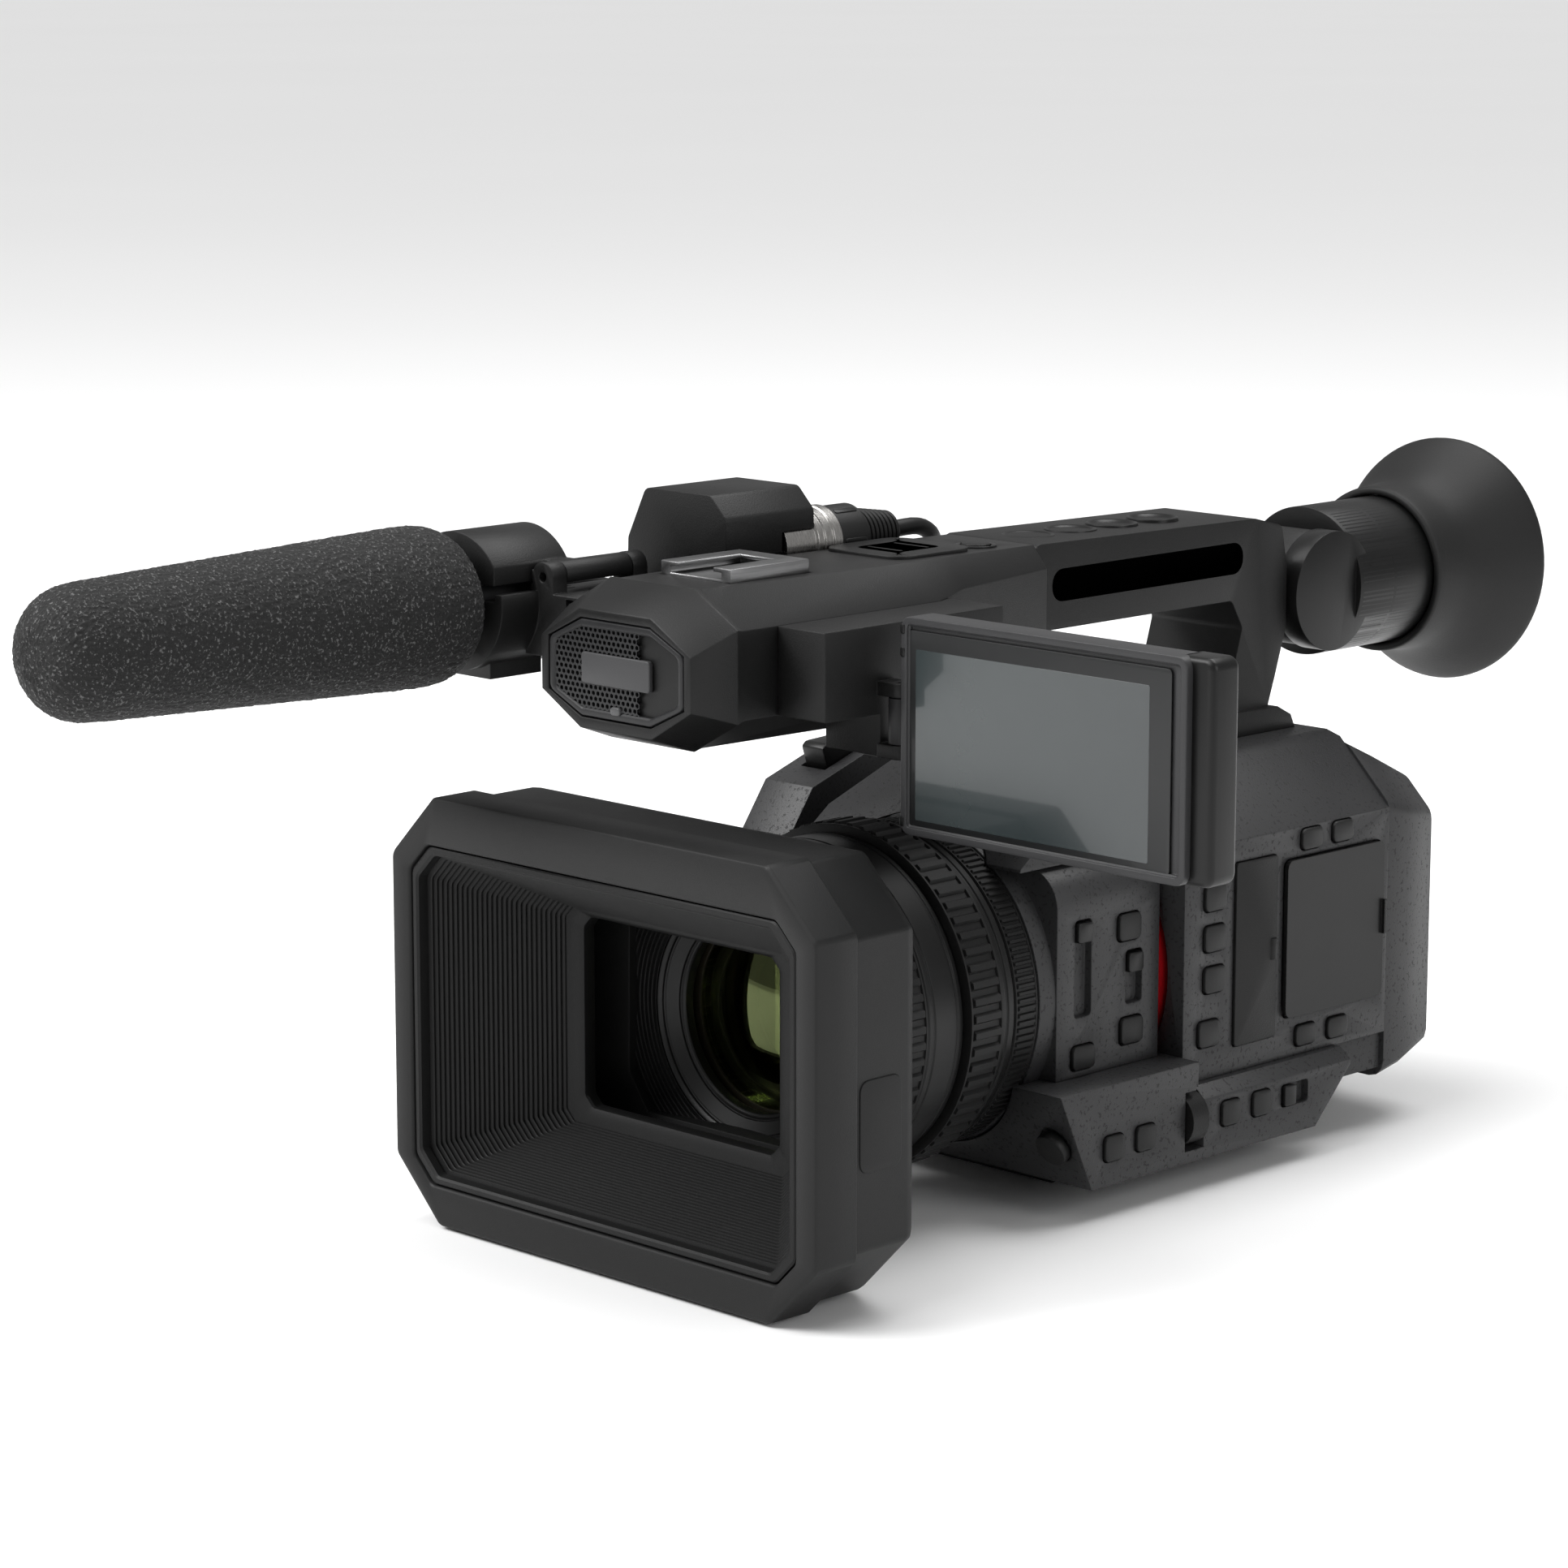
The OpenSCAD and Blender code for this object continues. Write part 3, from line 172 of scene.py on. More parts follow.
class Finish:
    def __init__(self, name, **constants):
        self.material = bpy.data.materials.new(name)
        self.material.use_nodes = True
        self.tree = self.material.node_tree
        self.shader = self.tree.nodes["Principled BSDF"]
        for socket, value in constants.items():
            self.shader.inputs[socket.replace("_", " ")].default_value = value
        self.place = self.node("ShaderNodeTexCoord", {}, out="Object")

    def node(self, kind, settings, *values, out=0, **named):
        made = self.tree.nodes.new(kind)
        for key, value in settings.items():
            setattr(made, key, value)
        for key, value in [*enumerate(values), *named.items()]:
            socket = made.inputs[key.replace("_", " ") if isinstance(key, str) else key]
            if isinstance(value, Wire):
                self.tree.links.new(value.socket, socket)
            else:
                socket.default_value = value
        return Wire(self, made.outputs[out])

    def drive(self, socket, wire):
        self.tree.links.new(wire.socket, self.shader.inputs[socket])

    def noise(self, size_mm, detail=2.0, roughness=0.5):
        return self.node("ShaderNodeTexNoise", {}, Vector=self.place, Scale=1000 / size_mm,
                         Detail=detail, Roughness=roughness, out="Fac")

    def cells(self, size_mm, feature="F1", out="Distance"):
        return self.node("ShaderNodeTexVoronoi", {"feature": feature}, Vector=self.place,
                         Scale=1000 / size_mm, out=out)

    def mix(self, amount, low, high):
        """A colour between two others."""
        made = self.node("ShaderNodeMix", {"data_type": "RGBA"}, out=2)
        node = made.socket.node
        for key, value in ((0, amount), (6, low), (7, high)):
            if isinstance(value, Wire):
                self.tree.links.new(value.socket, node.inputs[key])
            else:
                node.inputs[key].default_value = linear(value) if isinstance(value, str) else value
        return made

    def relief(self, height, depth_mm, rounding_mm=0.0):
        """Bump from a height that runs from 0 to 1, over edges that look a little rounded."""
        bump = {"Height": height, "Distance": depth_mm * MM, "Strength": 1.0}
        if rounding_mm:
            bump["Normal"] = self.node("ShaderNodeBevel", {"samples": 4}, Radius=rounding_mm * MM)
        self.drive("Normal", self.node("ShaderNodeBump", {}, **bump))


# %% [markdown]
# ## Moulded plastic and paint
# Most of the camera is black moulding with a fine spark-eroded texture: tiny even bumps, a little
# variation in its sheen, and edges polished by handling. The body's own paint has dark flecks in it,
# which show best on the upper facet.

# %% Moulded black plastics
def moulded(name, dark, light, sheen, grain_mm, depth_mm, rounding_mm=0.35, spread=0.08, specular=0.3):
    finish = Finish(name, **{"IOR": 1.47})
    finish.shader.inputs["Specular IOR Level"].default_value = specular
    grain = finish.cells(grain_mm)
    cloud = finish.noise(14, 3.0)
    finish.drive("Base Color", finish.mix(cloud * 0.7 + grain * 0.3, dark, light))
    finish.drive("Roughness", cloud * spread + grain * 0.06 + (sheen - spread / 2))
    finish.relief(grain, depth_mm, rounding_mm)
    return finish.material


black_plastic = moulded("black_plastic", "#101010", "#161616", 0.46, 0.42, 0.03)
handle_plastic = moulded("handle_plastic", "#101010", "#161616", 0.44, 0.4, 0.025, 0.5)
hood_plastic = moulded("hood_plastic", "#151515", "#1a1a1a", 0.5, 0.36, 0.02, 0.5)
trap_plastic = moulded("trap_plastic", "#0e0e0e", "#121212", 0.5, 0.5, 0.02, 0.0)
smooth_plastic = moulded("smooth_plastic", "#0e0e0e", "#121212", 0.33, 0.6, 0.006, 0.3)
key_plastic = moulded("key_plastic", "#131313", "#191919", 0.42, 0.3, 0.01, 0.3)
dark_metal = moulded("dark_metal", "#1e1e1f", "#262627", 0.38, 0.5, 0.008, 0.2)
cup_rubber = moulded("cup_rubber", "#121212", "#171717", 0.52, 0.5, 0.012, 0.0)
ring_rubber = moulded("ring_rubber", "#0d0d0d", "#111111", 0.46, 0.45, 0.012, 0.0)
cable_jacket = moulded("cable_jacket", "#0e0e0e", "#131313", 0.42, 0.6, 0.01, 0.0)


# %% The body's flecked paint
def flecked(name, dark, light, fleck, sheen):
    finish = Finish(name)
    finish.shader.inputs["Specular IOR Level"].default_value = 0.4
    speck_size = finish.noise(1.15, 2.0, 0.6)
    specks = speck_size.above(0.615, 0.05)
    fine = finish.cells(0.5)
    cloud = finish.noise(22, 3.0)
    paint = finish.mix(cloud, dark, light)
    finish.drive("Base Color", finish.mix(specks * 0.75, paint, fleck))
    finish.drive("Roughness", cloud * 0.08 + specks * 0.15 + (sheen - 0.04))
    finish.relief(fine * 0.5 + specks * -0.4, 0.045, 0.4)
    return finish.material


body_paint = flecked("body_paint", "#232324", "#2b2b2c", "#0a0a0a", 0.46)


# %% Metals, webbing, board and glosses
def brushed(name, dark, light, sheen, stretch):
    """Plated metal with fine lines along Y."""
    finish = Finish(name, Metallic=1.0)
    lines = finish.node("ShaderNodeTexNoise", {}, Scale=1.0, Detail=3.0, out="Fac",
                        Vector=finish.node("ShaderNodeMapping", {}, Vector=finish.place, Scale=stretch))
    finish.drive("Base Color", finish.mix(lines, dark, light))
    finish.drive("Roughness", lines * 0.16 + sheen)
    finish.relief(lines, 0.01, 0.25)
    return finish.material


shoe_steel = brushed("shoe_steel", "#6e6e6e", "#9a9a9b", 0.3, (2500, 90, 2500))
plug_nickel = brushed("plug_nickel", "#9d9b98", "#c4c2bf", 0.2, (500, 2600, 500))


def glossy(name, dark, light, sheen, coat=1.0):
    finish = Finish(name, **{"Coat_Roughness": 0.03, "Coat_Weight": coat})
    cloud = finish.noise(9, 2.0)
    finish.drive("Base Color", finish.mix(cloud, dark, light))
    finish.drive("Roughness", cloud * 0.06 + sheen)
    finish.relief(cloud, 0.004, 0.15)
    return finish.material


red_gloss = glossy("red_gloss", "#7d0a10", "#8d0d14", 0.22)
board_green = glossy("board_green", "#0e3a20", "#174a2a", 0.4, 0.2)
screen_border = glossy("screen_border", "#0b0c0d", "#0e1011", 0.4, 0.1)


def printed(name, colour):
    finish = Finish(name)
    worn = finish.noise(0.8, 3.0)
    finish.drive("Base Color", finish.mix(worn, colour, "#c9c9c9"))
    finish.drive("Roughness", worn * 0.2 + 0.45)
    return finish.material


white_print = printed("white_print", "#f0f0f0")


def woven(name, dark, light, pitch_mm):
    """Webbing: two crossing sets of threads, one over the other."""
    finish = Finish(name)
    split = finish.node("ShaderNodeSeparateXYZ", {}, finish.place)
    up = Wire(finish, split.socket.node.outputs[2])
    along = Wire(finish, split.socket.node.outputs[1])
    turn = 2 * math.pi / (pitch_mm * MM)
    threads = (up * turn).maths("SINE") * (along * turn).maths("SINE") * 0.5 + 0.5
    fuzz = finish.noise(0.6, 3.0)
    finish.drive("Base Color", finish.mix(threads * 0.6 + fuzz * 0.4, dark, light))
    finish.drive("Roughness", fuzz * 0.2 + 0.72)
    finish.relief(threads * 0.8 + fuzz * 0.2, 0.12)
    return finish.material


strap_webbing = woven("strap_webbing", "#121213", "#26262a", 1.4)
print("finishes", len(bpy.data.materials))

# %% [markdown]
# ## The finish of each CAD node
# A node whose shape is right keeps its mesh and only gets its finish. The ones that are replaced
# further down get one too, so that nothing is ever left plain.

# %% Finishes by the record's material slots
slot_finish = {
    "body_paint": body_paint, "black_plastic": black_plastic, "hood_plastic": hood_plastic,
    "trap_plastic": trap_plastic, "ring_rubber": ring_rubber, "red_ring": red_gloss,
    "lens_glass": smooth_plastic, "screen_glass": screen_border, "clear_cover": smooth_plastic,
    "shoe_steel": shoe_steel, "plug_nickel": plug_nickel, "foam": cup_rubber,
    "cup_rubber": cup_rubber, "strap_web": strap_webbing, "board": board_green,
    "dark_metal": dark_metal, "cable_jacket": cable_jacket,
}
node_finish = {part["node"]: slot_finish[part["material_slot"]] for part in frame["record"]["subparts"]}
node_slot = {part["node"]: part["material_slot"] for part in frame["record"]["subparts"]}
for key in ("white_button", "focus_assist_button", "push_auto_button", "iris_button", "keys_4_5",
            "keys_6_7", "gain_shutter_keys", "exit_menu_keys", "user_button_1", "user_button_2",
            "user_button_3", "user_button_9"):
    node_finish[key] = key_plastic
for part in ("handle_pod", "handle_bar", "side_box", "mic_holder", "mic_lid"):
    node_finish[part] = handle_plastic
for part in ("eye_housing", "nd_switch", "focus_switch", "auto_switch", "grip_rocker", "handle_rocker"):
    node_finish[part] = smooth_plastic
for name, cad in frame["nodes"].items():
    cad.data.materials.clear()
    cad.data.materials.append(node_finish[name])

# %% [markdown]
# ## Modelling, in a few helpers
# The same few moves make every new piece: place a loop of points, extrude or spin or bridge it,
# round its edges with a bevel, and hand it to a body of the frame.

# %% Start a piece, and place its points
def begin(name, count):
    """A loop of points in edit mode, as the start of a piece."""
    if bpy.context.mode != "OBJECT":
        bpy.ops.object.mode_set(mode="OBJECT")
    bpy.ops.object.select_all(action="DESELECT")
    bpy.ops.mesh.primitive_circle_add(vertices=count)
    piece = bpy.context.object
    piece.name = piece.data.name = name
    bpy.ops.object.mode_set(mode="EDIT")
    return piece


def place(piece, points):
    mesh = bmesh.from_edit_mesh(piece.data)
    mesh.verts.ensure_lookup_table()
    for vertex, point in zip(mesh.verts, points):
        vertex.co = point
    bmesh.update_edit_mesh(piece.data)


def close_up():
    """Merges what touches, drops what has no size, and points the faces outwards."""
    bpy.ops.mesh.select_all(action="SELECT")
    bpy.ops.mesh.remove_doubles(threshold=2e-6)
    bpy.ops.mesh.dissolve_degenerate(threshold=1e-6)
    bpy.ops.mesh.delete_loose()
    bpy.ops.mesh.select_all(action="SELECT")
    bpy.ops.mesh.normals_make_consistent(inside=False)
    bpy.ops.object.mode_set(mode="OBJECT")


def pick_faces(piece, wanted):
    """Selects the faces that pass a test, and nothing else."""
    bpy.ops.mesh.select_mode(type="FACE")
    bpy.ops.mesh.select_all(action="DESELECT")
    mesh = bmesh.from_edit_mesh(piece.data)
    for face in [f for f in mesh.faces if wanted(f)]:
        face.select = True
    bmesh.update_edit_mesh(piece.data)


# %% Round edges, smooth shading, and a place in the frame
def apply_modifier(piece, kind, **settings):
    bpy.context.view_layer.objects.active = piece
    modifier = piece.modifiers.new("step", kind)
    for key, value in settings.items():
        setattr(modifier, key, value)
    bpy.ops.object.modifier_apply(modifier=modifier.name)


def round_edges(piece, width_mm, segments=3, angle=32, clamp=True):
    apply_modifier(piece, "BEVEL", width=width_mm * MM, segments=segments, limit_method="ANGLE",
                   angle_limit=math.radians(angle), use_clamp_overlap=clamp)


def hand_over(piece, body, material, slot, *nodes, smooth=35):
    """Finish, shading, and the body that the piece rides on."""
    bpy.ops.object.select_all(action="DESELECT")
    piece.select_set(True)
    bpy.context.view_layer.objects.active = piece
    if smooth:
        bpy.ops.object.shade_smooth_by_angle(angle=math.radians(smooth))
    if not piece.data.materials:
        piece.data.materials.append(material)
    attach(piece, body)
    if nodes:
        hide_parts(*nodes)
    return piece


# %% Three ways to a solid: extrude an outline, spin a profile, skin over rings
def slab(name, outline, axis, low, high):
    """An outline of two coordinates, extruded along an axis. Millimetres from the hood's face."""
    def point(a, b, depth):
        return at(*{"x": (depth, a, b), "y": (a, depth, b), "z": (a, b, depth)}[axis])

    piece = begin(name, len(outline))
    place(piece, [point(a, b, low) for a, b in outline])
    bpy.ops.mesh.select_all(action="SELECT")
    bpy.ops.mesh.edge_face_add()
    step = point(0, 0, high) - point(0, 0, low)
    bpy.ops.mesh.extrude_region_move(TRANSFORM_OT_translate={"value": step})
    close_up()
    return piece


def lathe(name, profile, steps=96, middle=(0, LENS_Z), axis="y"):
    """A closed profile of (radius, place along the axis), spun about the axis through its middle."""
    a, b = middle
    if axis == "y":
        points, centre, line = [at(a + r, y, b) for r, y in profile], at(a, 0, b), (0, 1, 0)
    elif axis == "x":
        points, centre, line = [at(x, a + r, b) for r, x in profile], at(0, a, b), (1, 0, 0)
    else:
        points, centre, line = [at(a + r, b, z) for r, z in profile], at(a, b, 0), (0, 0, 1)
    piece = begin(name, len(profile))
    place(piece, points)
    bpy.ops.mesh.select_all(action="SELECT")
    bpy.ops.mesh.spin(steps=steps, angle=2 * math.pi, center=centre, axis=line)
    close_up()
    return piece


def skin(name, rings, closed=False, caps=True):
    """Rings with the same count of points, bridged one to the next."""
    count = len(rings[0])
    piece = begin(name, count)
    for _ in rings[1:]:
        bpy.ops.mesh.primitive_circle_add(vertices=count)
    place(piece, [point for ring in rings for point in ring])
    pairs = list(range(len(rings) - 1)) + ([len(rings) - 1] if closed else [])
    bpy.ops.mesh.select_mode(type="EDGE")
    for k in pairs:
        mesh = bmesh.from_edit_mesh(piece.data)
        mesh.verts.ensure_lookup_table()
        bpy.ops.mesh.select_all(action="DESELECT")
        mesh.edges.ensure_lookup_table()
        for ring in (k, (k + 1) % len(rings)):
            for edge in mesh.edges[ring * count:(ring + 1) * count]:
                edge.select = True
        bmesh.update_edit_mesh(piece.data)
        bpy.ops.mesh.bridge_edge_loops()
    if caps and not closed:
        for ring in (0, len(rings) - 1):
            mesh = bmesh.from_edit_mesh(piece.data)
            mesh.edges.ensure_lookup_table()
            bpy.ops.mesh.select_all(action="DESELECT")
            for edge in mesh.edges[ring * count:(ring + 1) * count]:
                edge.select = True
            bmesh.update_edit_mesh(piece.data)
            bpy.ops.mesh.edge_face_add()
    bpy.ops.mesh.select_mode(type="VERT")
    close_up()
    return piece


# %% Outlines
def rounded(points, radius, n=4):
    """The same outline with its corners rounded to a radius."""
    done = []
    for i, b in enumerate(points):
        a, b, c = (Vector(p) for p in (points[i - 1], b, points[(i + 1) % len(points)]))
        u, w = (a - b).normalized(), (c - b).normalized()
        half = math.acos(max(-1, min(1, u.dot(w)))) / 2
        middle = b + (u + w).normalized() * radius / math.sin(half)
        start, end = b + u * radius / math.tan(half) - middle, b + w * radius / math.tan(half) - middle
        first = math.atan2(start.y, start.x)
        turn = (math.atan2(end.y, end.x) - first + math.pi) % (2 * math.pi) - math.pi
        done += [(middle.x + radius * math.cos(first + turn * k / n),
                  middle.y + radius * math.sin(first + turn * k / n)) for k in range(n + 1)]
    return done


def oblong(a, b, wide, high, radius, n=4):
    """A rounded rectangle about its middle."""
    w, h = wide / 2, high / 2
    return rounded([(a - w, b - h), (a + w, b - h), (a + w, b + h), (a - w, b + h)], radius, n)


def cut_box(w, top, low, c):
    return [(-w + c, -low), (w - c, -low), (w, -low + c), (w, top - c),
            (w - c, top), (-w + c, top), (-w, top - c), (-w, -low + c)]


print("helpers ready")

# %% [markdown]
# ## CAD pieces with softened edges
# Real mouldings have no knife edges: each catches a thin line of light. A copy of the CAD node is
# merged, its flat faces are joined, and a narrow bevel is cut along the edges that are left.

# %% Soften a CAD node
def soften(node, width_mm, material=None, angle=30, segments=2):
    """A copy of a CAD node with narrow bevels, in its place."""
    cad = frame["nodes"][node]
    bpy.ops.object.select_all(action="DESELECT")
    copy = cad.copy()
    copy.data = cad.data.copy()
    for key in list(copy.keys()):
        del copy[key]
    copy.parent = None
    copy.matrix_world = Matrix.Identity(4)
    bpy.context.scene.collection.objects.link(copy)
    copy.name = copy.data.name = node + "_finish"
    copy.select_set(True)
    bpy.context.view_layer.objects.active = copy
    bpy.ops.object.mode_set(mode="EDIT")
    bpy.ops.mesh.select_all(action="SELECT")
    bpy.ops.mesh.customdata_custom_splitnormals_clear()
    bpy.ops.mesh.remove_doubles(threshold=1e-6)
    bpy.ops.mesh.mark_sharp(clear=True)
    bpy.ops.mesh.dissolve_limited(angle_limit=math.radians(1.5))
    bpy.ops.object.mode_set(mode="OBJECT")
    before = len(copy.data.polygons)
    round_edges(copy, width_mm, segments, angle)
    if material is not None:
        copy.data.materials.clear()
    hand_over(copy, body_of(cad)[0], material, node_slot[node], node)
    print(node, "faces", before, "to", len(copy.data.polygons))
    return copy


soften_widths = {
    "left_shell": 0.7, "right_shell": 0.6, "lens_housing": 0.6, "control_pod": 0.8, "base_plate": 1.0,
    "handle_pod": 0.9, "handle_bar": 1.4, "side_box": 1.0, "xlr_box": 1.2, "cold_shoe": 0.3,
    "mic_holder": 0.7, "mic_lid": 0.8, "battery": 1.0, "eye_housing": 0.8, "card_door": 0.4,
    "handle_rocker": 0.5, "grip_rocker": 0.7, "screen_hinge": 0.3, "hand_strap": 1.0,
    "nd_switch": 0.3, "focus_switch": 0.3, "auto_switch": 0.3, "record_button": 0.4,
    "white_button": 0.5, "user_button_1": 0.5, "user_button_2": 0.5, "user_button_3": 0.5,
    "user_button_9": 0.6, "focus_assist_button": 0.5, "push_auto_button": 0.5, "iris_button": 0.5,
    "keys_4_5": 0.5, "keys_6_7": 0.5, "gain_shutter_keys": 0.5, "exit_menu_keys": 0.5,
    "audio_dial_1": 0.3, "audio_dial_2": 0.3,
}
for node, width in soften_widths.items():
    soften(node, width)

# %% [markdown]
# ## The lens hood
# A deep moulded box with cut corners: a broad front flange, a step behind it, straight walls, and a
# shoulder that is drawn in to a round collar. Rings of points follow its section once round, from the
# mouth over the outside to the collar and back along the inside, and are bridged into one closed wall.

# %% The hood's wall
HOOD = (80, 60, 57.5, 17)


def box_ring(y, w, top, low, cut, radius, lift=0.0):
    return [at(a, y, b + lift) for a, b in rounded(cut_box(w, top, low, cut), radius)]


def inset_ring(y, inset, radius=3.0):
    w, top, low, cut = HOOD
    return box_ring(y, w - inset, top - inset, low - inset, cut, max(radius - inset * 0.4, 0.8))


def drawn_in(y, inset, radius, share):
    """The hood's outline at y, a share of the way towards a circle of a radius."""
    ring = []
    for point, start in zip(inset_ring(y, inset), inset_ring(0, 0)):
        angle = math.atan2(start.z - HOOD_HEIGHT * MM, start.x)
        circle = at(radius * math.cos(angle), y, radius * math.sin(angle) + LENS_Z)
        ring.append(point.lerp(circle, share))
    return ring


def shoulder(inset, radius, steps=7):
    """The rounded shoulder between the box and the collar."""
    return [drawn_in(34 + 15 * (k / steps), inset, radius, (k / steps) ** 2.2) for k in range(steps + 1)]


outside = [inset_ring(0.0, 1.1), inset_ring(0.25, 0.45), inset_ring(0.9, 0.05), inset_ring(14.2, 0.0),
           inset_ring(14.8, 0.3), inset_ring(15.0, 0.9), inset_ring(15.2, 1.5), inset_ring(16.0, 1.6)]
collar = [drawn_in(57.4, 1.6, 49.0, 1.0), drawn_in(58.0, 1.6, 48.4, 1.0), drawn_in(58.0, 1.6, 44.8, 1.0),
          drawn_in(57.6, 1.6, 44.3, 1.0)]
inside = shoulder(4.2, 44.3)[::-1] + [inset_ring(4.6, 4.2)]
mouth = [box_ring(4.0, 72.6, 46.6, 46.6, 7, 3), box_ring(0.8, 72.6, 46.6, 46.6, 7, 3),
         box_ring(0.35, 72.8, 46.8, 46.8, 7.1, 3), box_ring(0.0, 73.3, 47.3, 47.3, 7.2, 3)]
hood = skin("hood", mouth + outside + shoulder(1.6, 49.0) + collar + inside, closed=True)
hand_over(hood, "camera", hood_plastic, "hood_plastic", "hood_shell")
print("hood faces", len(hood.data.polygons))

# %% Shallow scallops where fingers grip the hood's sides
for side in (-1, 1):
    pad = slab("hood_scallop", oblong(24.5, -7, 15, 24, 3), "x", side * 78.25, side * 78.72)
    round_edges(pad, 0.4, 3)
    pad.name = pad.data.name = "hood_side_pad_" + ("left" if side > 0 else "right")
    hand_over(pad, "camera", hood_plastic, "hood_plastic")

# %% [markdown]
# ## The light trap
# Inside the hood, a funnel of fine ribs swallows stray light. Each rib is a small tooth in the funnel's section:
# four rings of points make one rib, and twenty-eight ribs run down to the window.

# %% The ribbed funnel
RIBS = 28


def funnel_ring(share, push):
    """The funnel's outline a share of the way in, pushed outwards by some millimetres."""
    w = 69.0 + (42.5 - 69.0) * share + push
    h = 43.2 + (29.5 - 43.2) * share + push
    return box_ring(3.6 + (29 - 3.6) * share, w, h, h, 6 - 3 * share, 2.2 - share)


lip = [box_ring(0.9, 72.2, 46.2, 46.2, 7, 3), box_ring(0.55, 71.8, 45.8, 45.8, 7, 3),
       box_ring(0.5, 70.6, 44.6, 44.6, 6.8, 2.6), box_ring(1.0, 69.9, 44.0, 44.0, 6.6, 2.4),
       box_ring(3.0, 69.5, 43.7, 43.7, 6.4, 2.4)]
ribs = []
for rib in range(RIBS):
    for part, push in ((0.1, 0.55), (0.35, -0.25), (0.6, -0.25), (0.8, 0.55)):
        ribs.append(funnel_ring((rib + part) / RIBS, push))
window = [box_ring(29.0, 42.2, 29.3, 29.3, 3, 1.2), box_ring(29.1, 41.0, 28.6, 28.6, 3, 1.6),
          box_ring(29.5, 38.2, 27.2, 27.2, 3, 1.8, 0.8), box_ring(30.3, 37.0, 26.2, 26.2, 3, 2, 1.2),
          box_ring(31.0, 36.8, 26.0, 26.0, 3, 2, 1.3), box_ring(33.9, 36.8, 26.0, 26.0, 3, 2, 1.3)]
behind = [box_ring(34.0, 75.6, 55.6, 53.1, 17, 2), box_ring(32.0, 75.6, 55.6, 53.1, 17, 2),
          box_ring(31.6, 46.5, 33.5, 33.5, 5, 2), box_ring(5.0, 72.2, 46.2, 46.2, 7, 3)]
trap = skin("light_trap", lip + ribs + window + behind, closed=True)
hand_over(trap, "camera", trap_plastic, "trap_plastic", "hood_liner", smooth=25)
print("light trap faces", len(trap.data.polygons))

# %% [markdown]
# ## Barrel and name ring
# Turned parts are spun from their section. The front of the barrel has fine steps that break up reflections, and
# the ring inside the filter thread has two thin grooves.

# %% The barrel
steps_in = []
for k in range(7):
    r = 43.2 - k * 1.25
    steps_in += [(r, 51.2 + k * 0.28), (r - 0.8, 51.2 + k * 0.28), (r - 0.8, 51.45 + k * 0.28)]
barrel = lathe("barrel", [(44, 51.6), (43.6, 51.2)] + steps_in + [
    (33.5, 53.2), (33.5, 60), (38, 66), (38, 176), (42, 176), (42, 110.6), (44.9, 110.6), (45.2, 110.2),
    (45.2, 108.4), (44.8, 108.1), (44.8, 107.2), (45.2, 106.9), (45.2, 104.8), (44.9, 104.4), (42, 104.4),
    (42, 90.6), (44.8, 90.6), (45.2, 90.2), (45.2, 88.9), (44.9, 88.6), (44.9, 88.2), (45.2, 87.9),
    (45.2, 80.1), (44.9, 79.8), (44.9, 79.4), (45.2, 79.1), (45.2, 77.8), (44.9, 77.4), (42, 77.4),
    (42, 59.6), (44, 59.6)], steps=160)
hand_over(barrel, "camera", smooth_plastic, "black_plastic", "lens_barrel", smooth=28)

name_plate = lathe("front_ring", [
    (33.3, 53.5), (33.3, 60), (26, 60), (26, 57.3), (26.4, 56.9), (27.0, 56.75), (27.2, 56.95),
    (27.6, 56.85), (27.8, 56.35), (31.3, 54.7), (31.5, 54.9), (31.9, 54.7), (32.1, 54.2), (32.9, 53.6)],
    steps=160)
hand_over(name_plate, "camera", smooth_plastic, "black_plastic", "name_ring", smooth=28)

# %% [markdown]
# ## Coated glass
# A zoom lens looks green, amber and rose at once, because each of its surfaces reflects a little of the
# light in its own tint. Here five domes stand one behind another in a stepped black tube. Each lets
# most light through and mirrors a share of it, more at a glancing angle.

# %% Glass finishes
def coated(name, tint, through, share, sheen=0.02):
    """Mostly clear, with a tinted mirror over it."""
    finish = Finish(name, Roughness=sheen, Metallic=1.0)
    finish.shader.inputs["Base Color"].default_value = linear(tint)
    clear = finish.node("ShaderNodeBsdfTransparent", {}, Color=linear(through))
    edge = finish.node("ShaderNodeLayerWeight", {}, Blend=0.35, out="Facing")
    blend = finish.node("ShaderNodeMixShader", {}, edge * 0.35 + share, clear,
                        Wire(finish, finish.shader.outputs[0]))
    finish.tree.links.new(blend.socket, finish.tree.nodes["Material Output"].inputs["Surface"])
    return finish.material


def dome(name, y, radius, bulge, material, thick=3.0, steps=72):
    """A lens: a spherical front, and a flat back a little inside its edge."""
    ball = (radius ** 2 + bulge ** 2) / (2 * bulge)
    spread = math.asin(radius / ball)
    front = [(ball * math.sin(spread * k / 10), y + ball * (1 - math.cos(spread * k / 10)))
             for k in range(11)]
    piece = lathe(name, front + [(radius, y + bulge + thick), (0, y + bulge + thick)], steps)
    return hand_over(piece, "camera", material, "lens_glass", smooth=50)


glass_front = dome("front_glass", 57.4, 25.9, 5.8, coated("coat_green", "#8f9a6a", "#e6e8d8", 0.16))
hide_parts("lens_elements")
dome("second_glass", 68.6, 21.6, 4.6, coated("coat_amber", "#b79a66", "#efe2c8", 0.14))
dome("third_glass", 78.0, 17.5, 3.6, coated("coat_olive", "#9aa070", "#e4e4cc", 0.16))
dome("fourth_glass", 88.0, 13.6, 3.0, coated("coat_rose", "#c9a08c", "#f0dccf", 0.18))
dome("fifth_glass", 97.0, 9.6, 2.4, coated("coat_pale", "#d8d2b8", "#fff6e6", 0.25))

